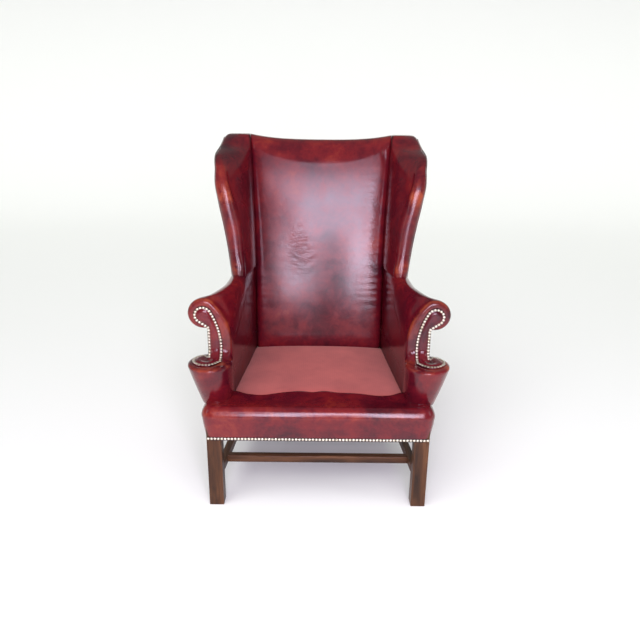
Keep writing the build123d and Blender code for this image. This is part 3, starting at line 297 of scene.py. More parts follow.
def paint(obj, name, value):
    """Vertex attribute from a function of the workshop x, y and z."""
    layer = obj.data.attributes.new(name, "FLOAT", "POINT")
    for vertex, item in zip(obj.data.vertices, layer.data):
        item.value = float(np.clip(value(*workshop(vertex.co)), 0.0, 1.0))


# Materials
def shader_of(owner, output, kind):
    """The one shader of a new material or world."""
    owner.use_nodes = True
    nodes = owner.node_tree.nodes
    nodes.clear()
    out = nodes.new("ShaderNodeOutput" + output)
    shader = nodes.new("ShaderNode" + kind)
    owner.node_tree.links.new(shader.outputs[0], out.inputs[0])
    return shader


def new_material(name):
    material = bpy.data.materials.new(name)
    return material, shader_of(material, "Material", "BsdfPrincipled")


class Tree:
    """Short ways to add and join nodes."""

    def __init__(self, material):
        self.tree = material.node_tree
        coords = self.tree.nodes.new("ShaderNodeTexCoord")
        self.object = coords.outputs["Object"]

    def add(self, kind, **sockets):
        node = self.tree.nodes.new("ShaderNode" + kind)
        for key, value in sockets.items():
            self.put(node.inputs[key.replace("_", " ")], value)
        return node

    def put(self, socket, value):
        if isinstance(value, bpy.types.NodeSocket):
            self.tree.links.new(value, socket)
        else:
            socket.default_value = value

    def mapped(self, scale):
        return self.add("Mapping", Vector=self.object, Scale=scale).outputs[0]

    def noise(self, scale, detail=3.0, rough=0.5, vector=None, distortion=0.0):
        node = self.add(
            "TexNoise", Scale=scale, Detail=detail, Roughness=rough, Distortion=distortion
        )
        self.put(node.inputs["Vector"], vector or self.object)
        return node.outputs["Fac"]

    def cells(self, scale):
        return self.add("TexVoronoi", Scale=scale, Vector=self.object).outputs["Distance"]

    def bands(self, scale, direction):
        wave = {"Scale": scale, "Distortion": 0.6, "Detail": 1.0, "Vector": self.object}
        node = self.add("TexWave", **wave)
        node.bands_direction = direction
        return node.outputs["Fac"]

    def ramp(self, value, *stops):
        node = self.add("ValToRGB", Fac=value)
        ramp = node.color_ramp
        while len(ramp.elements) < len(stops):
            ramp.elements.new(0.5)
        for element, (at, colour) in zip(ramp.elements, stops):
            element.position = at
            element.color = (*colour, 1.0)
        return node.outputs["Color"]

    def level(self, value, low, high, out_low=0.0, out_high=1.0):
        node = self.add(
            "MapRange",
            Value=value, From_Min=low, From_Max=high, To_Min=out_low, To_Max=out_high,
        )
        return node.outputs[0]

    def mix(self, fac, a, b):
        node = self.add("Mix")
        node.data_type = "RGBA"
        self.put(node.inputs["Factor"], fac)
        self.put(node.inputs[6], a)
        self.put(node.inputs[7], b if isinstance(b, bpy.types.NodeSocket) else (*b, 1.0))
        return node.outputs[2]

    def sum(self, a, b, operation="ADD"):
        node = self.add("Math")
        node.operation = operation
        self.put(node.inputs[0], a)
        self.put(node.inputs[1], b)
        return node.outputs[0]

    def product(self, a, b):
        return self.sum(a, b, "MULTIPLY")

    def attribute(self, name):
        node = self.add("Attribute")
        node.attribute_name = name
        return node.outputs["Fac"]

    def bump(self, height, strength, distance, normal=None):
        node = self.add("Bump", Height=height, Strength=strength, Distance=distance)
        if normal is not None:
            self.put(node.inputs["Normal"], normal)
        return node.outputs[0]


def leather_material():
    """Mottled glossy leather. The pieces' dark, worn, dull and creased attributes vary it: dark is
    painted shade, worn is partly wear and partly painted highlight.
    """
    material, shader = new_material("oxblood_leather")
    t = Tree(material)
    cloud = t.noise(4.2, 4.0, 0.6, distortion=0.3)
    mottle = t.noise(15.0, 6.0, 0.7, distortion=0.4)
    fine = t.noise(120.0, 5.0, 0.7)
    field = t.sum(t.product(cloud, 0.55), t.product(mottle, 0.45))
    field = t.sum(field, t.product(t.level(fine, 0.3, 0.7, -0.5, 0.5), 0.05))
    colour = t.ramp(
        field,
        (0.36, (0.036, 0.0026, 0.0080)),
        (0.48, (0.094, 0.0042, 0.0110)),
        (0.58, (0.156, 0.0076, 0.0120)),
        (0.70, (0.250, 0.0270, 0.0150)),
    )
    # Painted shade: the dark attribute darkens the leather where the pieces paint shade.
    colour = t.mix(t.attribute("dark"), colour, (0.010, 0.0015, 0.0025))
    # Lighter orange where the worn attribute is set: partly wear, partly painted highlight.
    worn = t.product(t.attribute("worn"), t.level(mottle, 0.42, 0.62))
    colour = t.mix(worn, colour, (0.42, 0.085, 0.030))
    t.put(shader.inputs["Base Color"], colour)
    dull = t.product(t.attribute("dull"), 0.30)
    rough = t.sum(t.level(mottle, 0.3, 0.75, 0.12, 0.24), dull)
    t.put(shader.inputs["Roughness"], rough)
    shader.inputs["IOR"].default_value = 1.5
    shader.inputs["Specular IOR Level"].default_value = 0.40
    shader.inputs["Coat Weight"].default_value = 0.17
    shader.inputs["Coat Roughness"].default_value = 0.12
    grain = t.cells(520.0)
    crease = t.noise(30.0, 5.0, 0.6)
    folds = t.noise(1.0, 4.0, 0.6, t.mapped((24.0, 24.0, 85.0)), 1.0)
    normal = t.bump(crease, 0.05, 0.004)
    normal = t.bump(t.product(folds, t.attribute("creased")), 0.9, 0.0035, normal)
    normal = t.bump(grain, 0.10, 0.0008, normal)
    t.put(shader.inputs["Normal"], normal)
    return material


def cloth_material(name, low, high, threads_scale=45.0):
    """Plain weave, washed between two colours."""
    material, shader = new_material(name)
    t = Tree(material)
    colour = t.ramp(t.noise(9.0, 4.0, 0.6), (0.3, low), (0.7, high))
    threads = t.product(t.bands(threads_scale, "X"), t.bands(threads_scale, "Y"))
    colour = t.mix(t.level(threads, 0.0, 1.0, 0.0, 0.30), colour, tuple(c * 1.25 for c in high))
    t.put(shader.inputs["Base Color"], colour)
    shader.inputs["Roughness"].default_value = 0.92
    shader.inputs["Sheen Weight"].default_value = 0.18
    shader.inputs["Sheen Roughness"].default_value = 0.6
    normal = t.bump(t.noise(260.0, 3.0, 0.6), 0.25, 0.0008)
    t.put(shader.inputs["Normal"], t.bump(threads, 0.35, 0.0006, normal))
    return material


def wood_material(name, dark, mid, light, rough, along):
    """Grain along an axis, with pores, and lighter where hands have worn it."""
    material, shader = new_material(name)
    t = Tree(material)
    scales = [1.6 if axis == along else 26.0 for axis in "XYZ"]
    rings = t.noise(1.0, 5.0, 0.62, t.mapped(scales), 0.8)
    pores = t.noise(1.0, 3.0, 0.7, t.mapped([scale * 9.0 for scale in scales]))
    colour = t.ramp(rings, (0.32, dark), (0.52, mid), (0.72, light))
    colour = t.mix(t.level(pores, 0.52, 0.70, 0.0, 0.65), colour, dark)
    worn = t.noise(7.0, 3.0, 0.6)
    colour = t.mix(t.level(worn, 0.55, 0.75, 0.0, 0.35), colour, light)
    t.put(shader.inputs["Base Color"], colour)
    t.put(shader.inputs["Roughness"], t.level(pores, 0.3, 0.8, rough, rough + 0.18))
    shader.inputs["Specular IOR Level"].default_value = 0.32
    normal = t.bump(rings, 0.12, 0.002)
    t.put(shader.inputs["Normal"], t.bump(pores, 0.22, 0.0006, normal))
    return material


def metal_material(name, colour, worn, rough):
    material, shader = new_material(name)
    t = Tree(material)
    patina = t.noise(130.0, 4.0, 0.6)
    t.put(shader.inputs["Base Color"], t.ramp(patina, (0.30, worn), (0.50, colour)))
    shader.inputs["Metallic"].default_value = 1.0
    t.put(shader.inputs["Roughness"], t.level(patina, 0.3, 0.8, rough, rough + 0.2))
    t.put(shader.inputs["Normal"], t.bump(patina, 0.1, 0.0003))
    return material


def woods(name, *tones_and_rough):
    return {
        axis: wood_material(name + "_" + axis.lower(), *tones_and_rough, axis) for axis in "XYZ"
    }


LEATHER = leather_material()
RED_CLOTH = cloth_material("red_cloth", (0.330, 0.051, 0.049), (0.450, 0.080, 0.073))
BLACK_CLOTH = cloth_material("black_cloth", (0.016, 0.016, 0.017), (0.030, 0.029, 0.030))
JUTE = cloth_material("jute", (0.30, 0.21, 0.12), (0.46, 0.34, 0.21), 25.0)
MAHOGANY = woods(
    "mahogany", (0.014, 0.0056, 0.0032), (0.070, 0.0250, 0.0088), (0.150, 0.060, 0.0230), 0.34
)
BEECH = woods("beech", (0.30, 0.18, 0.09), (0.44, 0.29, 0.16), (0.56, 0.40, 0.25), 0.6)
BRASS = metal_material("brass", (0.97, 0.92, 0.78), (0.80, 0.68, 0.46), 0.27)
STEEL = metal_material("spring_steel", (0.42, 0.42, 0.43), (0.22, 0.21, 0.20), 0.35)


# Arm, with the cone under its scroll. A station is 0 at the arm's front and 1 at the wing's
# foot; after it come shares of the wall: inner, crown and stem; of the roll: radius and drop;
# the inner face's bulge, and the height where it starts.
ARM_STATIONS = np.array(
    [
        (0.000, 0.12, 0.26, 0.050, 1.00, 0.18, 0.24, 0.54),
        (0.065, 0.12, 0.26, 0.050, 1.00, 0.18, 0.24, 0.54),
        (0.190, 0.42, -0.09, -0.02, 0.91, 0.22, 0.21, 0.56),
        (0.430, 0.69, -0.35, -0.03, 0.79, 0.26, 0.16, 0.62),
        (0.680, 0.81, -0.48, -0.09, 0.67, 0.26, 0.11, 0.70),
        (0.860, 0.86, -0.46, -0.11, 0.60, 0.24, 0.07, 0.80),
        (1.000, 0.87, -0.42, -0.10, 0.55, 0.20, 0.04, 0.84),
        (1.500, 0.89, -0.36, -0.05, 0.53, 0.16, 0.03, 0.85),
        (1.758, 0.89, -0.34, 0.010, 0.53, 0.16, 0.03, 0.85),
    ]
)
ARM_LENGTH = WING_FOOT_Y - ARM_FRONT
EDGE_ROUND = 11.0
STEM_POINTS = 18


def arm_outline(station, inset):
    """Closed outline (x, z) of the right arm at a station, its last run down the stem."""
    at, *columns = ARM_STATIONS.T
    inner_share, crown_share, stem_share, radius_share, drop_share, bulge_share, low_share = (
        float(smooth(at, column, station)) for column in columns
    )
    line = half(ARM_FRONT + ARM_LENGTH * station)
    turn = ROLL * radius_share - inset
    crown_x, crown_z = line + ARM_WALL * crown_share, ARM_TOP - ROLL * radius_share
    stem_x = line + ARM_WALL * stem_share - inset
    reach = min(stem_x + 0.1 * ROLL - crown_x, turn * 0.96)
    under = (crown_x + reach, crown_z - sqrt(turn**2 - reach**2))
    stem = (stem_x, under[1] - ROLL * 0.2)
    low = (line - ARM_WALL + inset, RAIL_TOP + FOOT_GAP)
    mid = (line - ARM_WALL + ARM_LEAN + inset, RAIL_TOP + (ARM_TOP - RAIL_TOP) * low_share)
    lean = (
        line - ARM_WALL * inner_share + inset * SLOPE,
        ARM_TOP - ROLL * drop_share - inset * SLOPE,
    )
    crown = (crown_x, ARM_TOP - inset)
    outer = (crown_x + turn, crown_z)
    points = [np.array(low)]
    points += run_line(low, mid, 16)
    points += run_arc(mid, bulged(mid, lean, ARM_WALL * bulge_share), lean, 18)
    length = hypot(crown[0] - lean[0], crown[1] - lean[1])
    points += run_arc(lean, bulged(lean, crown, length / 10), crown, 8)
    points += run_arc(crown, (crown_x + turn * SLOPE, crown_z + turn * SLOPE), outer, 12)
    sweep = atan2(crown_z - under[1], reach) / 2
    middle = (crown_x + turn * cos(sweep), crown_z - turn * sin(sweep))
    points += run_arc(outer, middle, under, 14)
    points += run_line(under, stem, 3)
    points += run_line(stem, (line - inset, RAIL_TOP + FOOT_GAP), STEM_POINTS)
    return np.array(points)


def head_proud(z):
    """How far the leather stands in front of the scroll board's head."""
    return 1.6 * step(z, 545.0, 580.0)


def arm_rows():
    """Sections from the rounded front edge back to the wing's foot, then on to the back post."""
    rows = []
    for t in np.linspace(0, pi / 2, 9):
        y = ARM_FRONT + EDGE_ROUND * (1 - cos(t))
        section = arm_outline(0.0, EDGE_ROUND * (1 - sin(t)))
        rows.append([(x, y - head_proud(z) * cos(t), z) for x, z in section])
    for station in np.linspace(EDGE_ROUND / ARM_LENGTH, 1.0, 40)[1:]:
        y = ARM_FRONT + ARM_LENGTH * station
        rows.append([(x, y, z) for x, z in arm_outline(station, 0.0)])
    for t in np.linspace(0.0, 1.0, 14)[1:]:
        row = []
        for x, z in arm_outline(1.0 + 0.62 * t, 0.0):
            y = WING_FOOT_Y + (back_y(z, POST_DEPTH - 2.0) - WING_FOOT_Y) * t
            row.append((x, y, min(z, ARM_TOP - 5.0)))
        rows.append(row)
    return rows


# Centre x and y, and radius, at the cone's foot and under its rim
CONE_LOW = (334.0, 101.0, 50.0)
CONE_HIGH = (352.0, 86.0, 72.5)
RIM = 8.0
CONE_REAR = 158.0


def resampled(points, count):
    """Evenly spaced points round a closed outline."""
    points = np.vstack([points, points[:1]])
    lengths = np.linalg.norm(np.diff(points, axis=0), axis=1)
    along = np.concatenate([[0.0], np.cumsum(lengths)])
    at = np.linspace(0.0, along[-1], count + 1)[:-1]
    return np.stack([np.interp(at, along, points[:, k]) for k in range(points.shape[1])], axis=1)


def hull(points):
    """Convex outline round the points, from the rearmost one on."""
    points = sorted(map(tuple, points))

    def keeps_right(a, b, p):
        return (b[0] - a[0]) * (p[1] - a[1]) <= (b[1] - a[1]) * (p[0] - a[0])

    def half_hull(sequence):
        out = []
        for p in sequence:
            while len(out) > 1 and keeps_right(out[-2], out[-1], p):
                out.pop()
            out.append(p)
        return out[:-1]

    outline = half_hull(points) + half_hull(reversed(points))
    start = max(range(len(outline)), key=lambda i: (round(outline[i][1], 3), outline[i][0]))
    return np.array(outline[start:] + outline[:start])


def cone_rows():
    """Level rings of the cone, with a rolled rim, run back into the arm's wall."""
    low_z, rim_z = RAIL_TOP + FOOT_GAP, SHELF - RIM
    levels = [(low_z + (rim_z - low_z) * k / 22, 0.0) for k in range(23)]
    for a in quarter(7):
        levels.append((rim_z + (RIM - 1.0) * sin(a), RIM * (1 - cos(a))))
    levels += [(SHELF - 1.0, CONE_HIGH[2] * share) for share in (0.35, 0.6, 0.85)]
    rows = []
    for z, inset in levels:
        t = min((z - low_z) / (rim_z - low_z), 1.0)
        x, y, r = (a + (b - a) * t for a, b in zip(CONE_LOW, CONE_HIGH))
        r = r - inset + 1.2 * sin(pi * t)
        turns = np.linspace(0, 2 * pi, 97)[:-1]
        ring = [(x + r * cos(a), y + r * sin(a)) for a in turns]
        if inset < RIM * 1.01:
            wall = LEG_HALF - ARM_WALL - 6.0 + ARM_LEAN * 0.5 + inset
            ring += [(wall, 117.0 + 40.0 * t), (wall, CONE_REAR), (x, CONE_REAR)]
        rows.append([(px, py, z) for px, py in resampled(hull(ring), 96)])
    return rows


# How much tighter the hollow bend is at an x, from the arm's inner edge outward
BEND_STATIONS = ((291.0, 26.0), (297.0, 10.0), (306.0, 2.0), (318.0, 0.0), (STEM_OUT + 1.5, 0.0))


def bend_rows():
    """The hollow bend between the arm's front and the cone's shelf."""
    rows = []
    for x, tighter in BEND_STATIONS:
        r = BEND - tighter
        ring = []
        for a in np.linspace(0, pi / 2, 15):
            ring.append((ARM_FRONT - r + r * cos(a), SHELF + r - r * sin(a)))
        ring.append((ARM_FRONT - r, SHELF - 12.0))
        ring += [(ARM_FRONT + 12.0, SHELF - 12.0), (ARM_FRONT + 12.0, SHELF + r)]
        rows.append([(x, y, z) for y, z in ring])
    return rows


def make_arm(name, side):
    parts = [
        grid_mesh(mirrored(rows(), side), wrap=True, caps=True)
        for rows in (arm_rows, cone_rows, bend_rows)
    ]
    nodes = [node + name for node in ("arm_cover_", "arm_pad_", "cone_cover_", "cone_block_")]
    obj = add_leather("arm_" + name, joined(*parts), *nodes)
    remeshed(obj, 5)

    def crook(x, y, z):
        """Where rim, bend and the arm's inner edge meet."""
        x *= side
        gap = sqrt((x - 296.0) ** 2 + (y - 116.0) ** 2 + (0.6 * (z - 496.0)) ** 2)
        return step(gap, 34.0, 16.0) * step(x, 313.0, 307.0)

    def inner_wall(x, y):
        edge = half(y) - 40.0
        return step(abs(x), edge, edge - 16.0) * (y > ARM_FRONT + 8.0)

    # Lighter front roll edge and cone rim: partly wear, partly painted highlight.
    def worn(x, y, z):
        edge = hump(y, ARM_FRONT + 6.0, 6.0) * step(z, 500.0, 560.0)
        rim = hump(z, SHELF - 4.0, 5.0) * (y < ARM_FRONT - 2.0)
        return 0.55 * max(edge, rim)

    # Painted shade where the inner wall meets the deck, and a little over the wall's lower part.
    def dark(x, y, z):
        return inner_wall(x, y) * (0.75 * fade(z - 352.0, 9.0) + 0.30 * step(z, 520.0, 400.0))

    def dull(x, y, z):
        return 0.8 * step(z, 470.0, 380.0) * inner_wall(x, y)

    smoothed(obj, crook, 30)
    paint(obj, "worn", worn)
    paint(obj, "dark", dark)
    paint(obj, "dull", dull)


# Wing: share of its height, then of its sweep, flare and roll
WING_LEVELS = np.array(
    [
        (0.000, 0.00, -0.32, 1.09),
        (0.197, 0.24, -0.02, 1.20),
        (0.373, 0.52, 0.36, 1.38),
        (0.536, 0.72, 0.73, 1.26),
        (0.702, 1.00, 1.00, 1.00),
        (0.798, 1.41, 0.98, 0.83),
        (0.873, 2.28, 0.91, 0.72),
        (0.916, 3.66, 0.75, 0.85),
        (1.000, 5.00, 0.50, 1.25),
    ]
)
WING_BASE = ARM_TOP - ROLL / 10
WING_DOME = 20.0


def wing_values(z):
    """Depth of the wing's front edge, its outside x and its roll's width at a height."""
    share = np.clip((z - WING_BASE) / (WING_TOP - WING_BASE), 0.0, 1.0)
    at, *columns = WING_LEVELS.T
    sweep, flare, roll = (float(smooth(at, column, share)) for column in columns)
    front = WING_FOOT_Y + WING_SWEEP * sweep
    outer = half(WING_FOOT_Y) + WING_FLARE * flare
    return front, outer, WING_ROLL * roll


def wing_outline(z, inset):
    """Closed plan outline of the right wing, with a flatter nose under the ear and at the foot."""
    front, outer, roll = wing_values(z)
    inner = outer - roll
    turn = max(roll / 2 - inset, 2.0)
    mid_x, centre_y = (inner + outer) / 2, front + roll / 2
    seam = (seam_half(z) + inset * 0.3, back_y(z, -SEAM_DEPTH))
    rear_y = back_y(z, POST_DEPTH) - inset
    rear_out = (back_outer(z) - inset, rear_y)
    nose_in = (mid_x - turn, centre_y)
    length = hypot(seam[0] - nose_in[0], seam[1] - nose_in[1])
    points = [np.array(seam)]
    points += run_arc(seam, bulged(seam, nose_in, -length * 0.05), nose_in, 22)
    power = 2.0 / (2.0 + 1.6 * hump(z, 1004.0, 52.0) + 1.2 * hump(z, 716.0, 24.0))
    for a in np.linspace(0.0, pi, 25)[1:]:
        across, forward = cos(a), sin(a)
        x = mid_x - turn * copysign(abs(across) ** power, across)
        points.append(np.array((x, centre_y - turn * abs(forward) ** power)))
    points += run_line((mid_x + turn, centre_y), rear_out, 24)
    points += run_line(rear_out, (seam[0] + 2.0, rear_y), 8)
    points += run_line((seam[0] + 2.0, rear_y), seam, 8)
    return points[:-1]


def wing_rows():
    shoulder = WING_TOP - WING_DOME
    levels = [(z, 0.0) for z in np.linspace(WING_BASE - 4.0, shoulder, 62)]
    for a in quarter(8):
        levels.append((shoulder + WING_DOME * sin(a), WING_DOME * (1 - cos(a))))
    return [[(x, y, z) for x, y in wing_outline(z, inset)] for z, inset in levels]


def make_wing(name, side):
    mesh = joined(grid_mesh(mirrored(wing_rows(), side), True, True))
    obj = add_leather("wing_" + name, mesh, "wing_cover_" + name, "wing_pad_" + name)
    remeshed(obj, 4)

    def ear(x, y, z):
        return step(z, 1010.0, 1070.0) * step(y, back_y(z, -8.0), back_y(z, -38.0))

    def worn(x, y, z):
        patches = hump(z, 965.0, 38.0) + 0.8 * hump(z, 715.0, 22.0) + 0.15
        front = wing_values(z)[0]
        return 0.55 * patches * hump(y, front + 2.0, 9.0) * (1 - step(z, 1080.0, 1120.0))

    def dull(x, y, z):
        front, _, roll = wing_values(z)
        middle = step(z, 725.0, 820.0) * step(z, 990.0, 865.0)
        return 0.85 * middle * fade(y - front - roll, 30.0)

    # Painted shade in the seam between the wing and the inside back.
    def dark(x, y, z):
        seam = fade(back_y(z, -SEAM_DEPTH) - y, 10.0)
        return 0.7 * seam * (abs(x) < seam_half(z) + 9.0)

    smoothed(obj, ear, 40)
    for vertex in obj.data.vertices:
        x, _, z = workshop(vertex.co)
        vertex.co.x += side * step(abs(x), 268.0, 328.0) * ear_out(z) * MM
    paint(obj, "worn", worn)
    paint(obj, "dull", dull)
    paint(obj, "dark", dark)


# Inside back
def back_rows():
    """Upright columns from side to side: a crowned panel that rolls over the crest rail."""
    rows = []
    for c in np.linspace(-1.0, 1.0, 181):
        a, right = abs(c), c > 0
        gap = (1 - a) * 262.0
        depth = 45.0 - 7.0 * a**2.6 - 17.0 * exp(-gap / 8.0)
        edge = fade(gap - 14.0, 34.0) * fade(14.0 - gap, 6.0)
        top = CREST_TOP + EAR_RISE * a**3
        low, roll_start = RAIL_TOP + 4.0, top - 88.0 + 52.0 * a**2.5
        profile = []
        for z in np.linspace(low, top - 1.0, 150):
            x = c * (seam_half(min(z, CREST_TOP)) + 5.0)
            t = min((z - low) / (roll_start - low), 1.0)
            crown = 6.0 * sin(pi * t * 0.92) ** 0.8
            over = max((z - roll_start) / (top - roll_start), 0.0)
            drop = (depth + 8.0) * (1 - sqrt(max(1 - over**2.2, 0.0)))
            lift = 12.0 * exp(-(z - low) / 20.0)
            wave = sin(z / 4.9 + 2.2 * sin(z / 31.0) + (2.0 if c < 0 else 0.0))
            pulls = 0.9 * edge * wave * hump(z, 730.0, 190.0) * (1.0 if right else 0.45)
            ripple = sin(z / 5.5 + 2.6 * sin(x / 17.0 + z / 60.0) + x / 30.0)
            wrinkle = 0.35 * hump(x, -70.0, 46.0) * hump(z, 725.0, 70.0) * ripple
            pleat = 4.0 * hump(x, 236.0 + (1105.0 - z) * 0.10, 6.0) * step(z, 1035.0, 1095.0)
            n = drop + lift + pleat * right - depth - crown - pulls - wrinkle
            profile.append((x, back_y(z, n), z))
        x, y, z = profile[-1]
        rear_y = back_y(top - 5.0, POST_DEPTH)
        for t in np.linspace(0.0, 1.0, 9)[1:]:
            rise = (top - 5.0 - z) * t**2 + 1.5 * sin(pi * t)
            profile.append((x, y + (rear_y - y) * t, z + rise))
        for z in (top - 13.0, top - 25.0):
            profile.append((x, back_y(z, POST_DEPTH), z))
        rows.append(profile)
    return rows


def make_back():
    mesh = grid_mesh(back_rows())
    obj = add_leather("inside_back", mesh, "inside_back_cover", "back_pad")
    tidy(obj.data)

    def creased(x, y, z):
        left = hump(x, -75.0, 42.0) * hump(z, 740.0, 85.0)
        right = hump(x, 202.0, 15.0) * hump(z, 760.0, 170.0)
        return 0.8 * left + 0.6 * right

    paint(obj, "creased", creased)


# Front band: height and distance out, then radius and slopes of the shoulder's arcs
BAND_LEVELS = [(248.0, 2.3), (262.0, 4.6), (285.0, 8.4), (305.0, 11.6), (332.0, 15.0)]
SHOULDER = [(30.0, 0.0, 15.0), (58.0, 15.0, 35.0), (18.0, 35.0, 90.0)]
BAND_TURN, BAND_REAR = 24.0, ARM_FRONT - 1.0
# The lid closes on a line at this depth, up to this far to each side.
LID_Y, LID_HALF = 60.0, 296.0
# The seam between the band and the deck, x and y
SEAM_LINE = [
    (-290, 119), (-279, 117), (-233, 92), (-193, 90), (-116, 108), (-40, 116.5), (25, 117),
    (90, 111.5), (133, 104), (200, 86), (233, 93), (271, 111), (290, 119),
]


def seam_y(x):
    xs, ys = zip(*SEAM_LINE)
    return smooth(xs, ys, np.clip(x, xs[0], xs[-1]))


def band_ring(out, z):
    """Closed level outline of the band, out from the legs' faces by a distance."""
    path = []
    for y in np.linspace(BAND_REAR, BAND_TURN, 24):
        tuck = max(out - 4.0, 0.0) * 0.6 * step(y, 60.0, 119.0)
        path.append((half(y) + out - tuck, y))
    radius = BAND_TURN + out
    for a in quarter(10):
        path.append((LEG_HALF - BAND_TURN + radius * cos(a), BAND_TURN - radius * sin(a)))
    path += [(x, -out) for x in np.linspace(LEG_HALF - BAND_TURN, 0.0, 60)[1:]]
    path += [(-x, y) for x, y in reversed(path[:-1])]
    rear = np.linspace(-path[0][0], path[0][0], 122)[1:-1]
    return [(x, y, z) for x, y in path] + [(x, BAND_REAR, z) for x in rear]


def band_rows():
    """Level outlines from the hem up over the shoulder, then rings that close the lid."""
    rows = []
    for z in np.linspace(HEM, BAND_LEVELS[-1][0], 30):
        out = float(smooth(*zip(*BAND_LEVELS), z))
        rows.append(band_ring(out, z))
    for radius, low, high in SHOULDER:
        turns = np.radians(np.linspace(low, high, 8))
        for a, b in zip(turns, turns[1:]):
            out -= radius * (cos(a) - cos(b))
            z += radius * (sin(b) - sin(a))
            rows.append(band_ring(out, z))
    start = rows[-1]
    for t in np.linspace(0.0, 1.0, 14)[1:]:
        ring = []
        for x, y, z in start:
            core = min(max(x, -LID_HALF), LID_HALF)
            dip = 3.0 * sin(pi / 2 * t)
            ring.append((x + (core - x) * t, y + (LID_Y - y) * t, z - dip))
        rows.append(ring)
    return rows


def make_band():
    mesh = grid_mesh(band_rows(), wrap=True)
    obj = add_leather("front_band", mesh, "front_band_cover", "front_roll")
    bm = bmesh.new()
    bm.from_mesh(mesh)
    bmesh.ops.remove_doubles(bm, verts=bm.verts, dist=0.05 * MM)
    bm.to_mesh(mesh)
    bm.free()
    for vertex in mesh.vertices:
        x, y, z = workshop(vertex.co)
        if z > RAIL_TOP + 18.0:
            rear = seam_y(x) + 5.0 if abs(x) < 290 else ARM_FRONT
            wave = sin(x / 21.0 + 1.3 * sin(x / 43.0))
            middle = max(1 - (abs(x) / 300.0) ** 4, 0.0)
            vertex.co.z += 1.8 * wave * step(y, 40.0, 80.0) * middle * MM
            if y > LID_Y:
                share = (y - LID_Y) / (BAND_REAR - LID_Y)
                vertex.co.y = (LID_Y + share * (rear - LID_Y)) * MM + Y_SHIFT
    tidy(mesh)
    # Painted shade along the hem, under the band's lower edge and the nails.
    paint(obj, "dark", lambda x, y, z: 0.85 * step(z, HEM + 15.0, HEM + 11.0))
    # Lighter top edge of the band: partly wear, partly painted highlight.
    paint(obj, "worn", lambda x, y, z: 0.30 * hump(z, 346.0, 12.0) * (y < 20.0))


# Seat deck
DECK_HALF_FRONT, DECK_HALF_REAR, DECK_REAR = 292.0, 257.0, 548.0


def make_deck():
    """A crowned cloth pad, drawn down along its sides, its rear and the seam in front."""
    rows = []
    for t in np.linspace(0.0, 1.0, 70):
        row = []
        side = DECK_HALF_FRONT + (DECK_HALF_REAR - DECK_HALF_FRONT) * t
        for c in np.linspace(-1.0, 1.0, 90):
            x, a = c * side, abs(c)
            front = seam_y(x) - 1.0
            y = front + (DECK_REAR - front) * t
            swell = 0.5 + 0.5 * sin(pi * (0.12 + 0.66 * t))
            z = 358.0 - 7.0 * t + 13.0 * (1 - a**2.6) * swell
            z -= 5.0 * exp(-(1 - a) * 280.0 / 12.0)
            z -= 4.0 * exp(-(1 - t) * 420.0 / 14.0)
            z -= 5.0 * exp(-t * 420.0 / 10.0) * (1 - a**6)
            row.append((x, y, z))
        rows.append(row)
    mesh = grid_mesh(rows)
    obj = add_piece("seat_deck", mesh, RED_CLOTH, "red_cloth", "deck_cloth", "deck_pad")
    tidy(mesh)


# Facing: one sheet in a developed plane, x across and s down the stem, round the bend and along
# the shelf. Circles are centre x, centre z or y, and radius.
SCROLL = (half(ARM_FRONT) + ARM_WALL * 0.26 - 0.3, ARM_TOP - ROLL - 2.0, ROLL * 0.61)
SHELF_C = (364.0, 89.0, 46.2)
FACE_Y = ARM_FRONT - 0.3
BEND_R = BEND - 0.3
BEND_LENGTH = BEND_R * pi / 2
SHELF_S = BEND_Z - BEND_LENGTH
FACING_IN, FACING_OUT = STEM_IN - 3.5, STEM_OUT + 1.75
NAIL_INSET = 5.0


def on_circle(circle, degrees):
    a = radians(degrees)
    return (circle[0] + circle[2] * cos(a), circle[1] + circle[2] * sin(a))


def shelf_s(y):
    """Developed s of a depth on the shelf."""
    return SHELF_S - (BEND_Y - y)


def facing_outline(inset=0.0):
    """Closed outline in the developed plane, drawn in by an inset."""
    scroll = (SCROLL[0], SCROLL[1], SCROLL[2] - inset)
    shelf = (SHELF_C[0], SHELF_C[1], SHELF_C[2] - inset)
    x_in, x_out = FACING_IN + inset, FACING_OUT - inset
    start, crown, tail = (on_circle(scroll, a) for a in (152, 40, -68))
    points = [np.array((x_in, SHELF_S))]
    low = (x_in, BEND_Z)
    points += run_line(points[0], low, 12)
    points += run_arc(low, bulged(low, start, ROLL * 0.16), start, 30)
    points += run_arc(start, on_circle(scroll, 96), crown, 20)
    points += run_arc(crown, on_circle(scroll, -14), tail, 20)
    neck = (x_out, scroll[1] - SCROLL[2] * 1.4)
    points += run_line(tail, neck, 6)
    points += run_line(neck, (x_out, BEND_Z), 10)
    low = (x_out, SHELF_S + inset)
    points += run_line((x_out, BEND_Z), low, 12)
    rear_x = x_out + 0.4 + inset * 1.2
    rear_angle = degrees(acos((rear_x - shelf[0]) / shelf[2]))
    rear = on_circle(shelf, rear_angle)
    points += run_line(low, (rear_x, low[1]), 1)
    points += run_line((rear_x, low[1]), (rear[0], shelf_s(rear[1])), 14)
    for a in np.linspace(rear_angle, -150, 60)[1:]:
        x, y = on_circle(shelf, a)
        points.append(np.array((x, shelf_s(y))))
    points += run_line(points[-1], (x_in, SHELF_S), 5)[:-1]
    return np.array(points)


def unfold(x, s, rise):
    """Space point and normal of a developed point, rise off the sheet's back."""
    beside_stem = x > FACING_OUT + 0.15 and s < BEND_Z
    if s < SHELF_S or beside_stem:
        return (x, BEND_Y - (SHELF_S - s), SHELF + 0.3 + rise), (0.0, 0.0, 1.0)
    if s >= BEND_Z:
        return (x, FACE_Y - 0.9 * head_proud(s) - rise, s), (0.0, -1.0, 0.0)
    a, radius = (BEND_Z - s) / BEND_R, BEND_R - rise
    point = (x, BEND_Y + radius * cos(a), BEND_Z - radius * sin(a))
    return point, (0.0, -cos(a), sin(a))


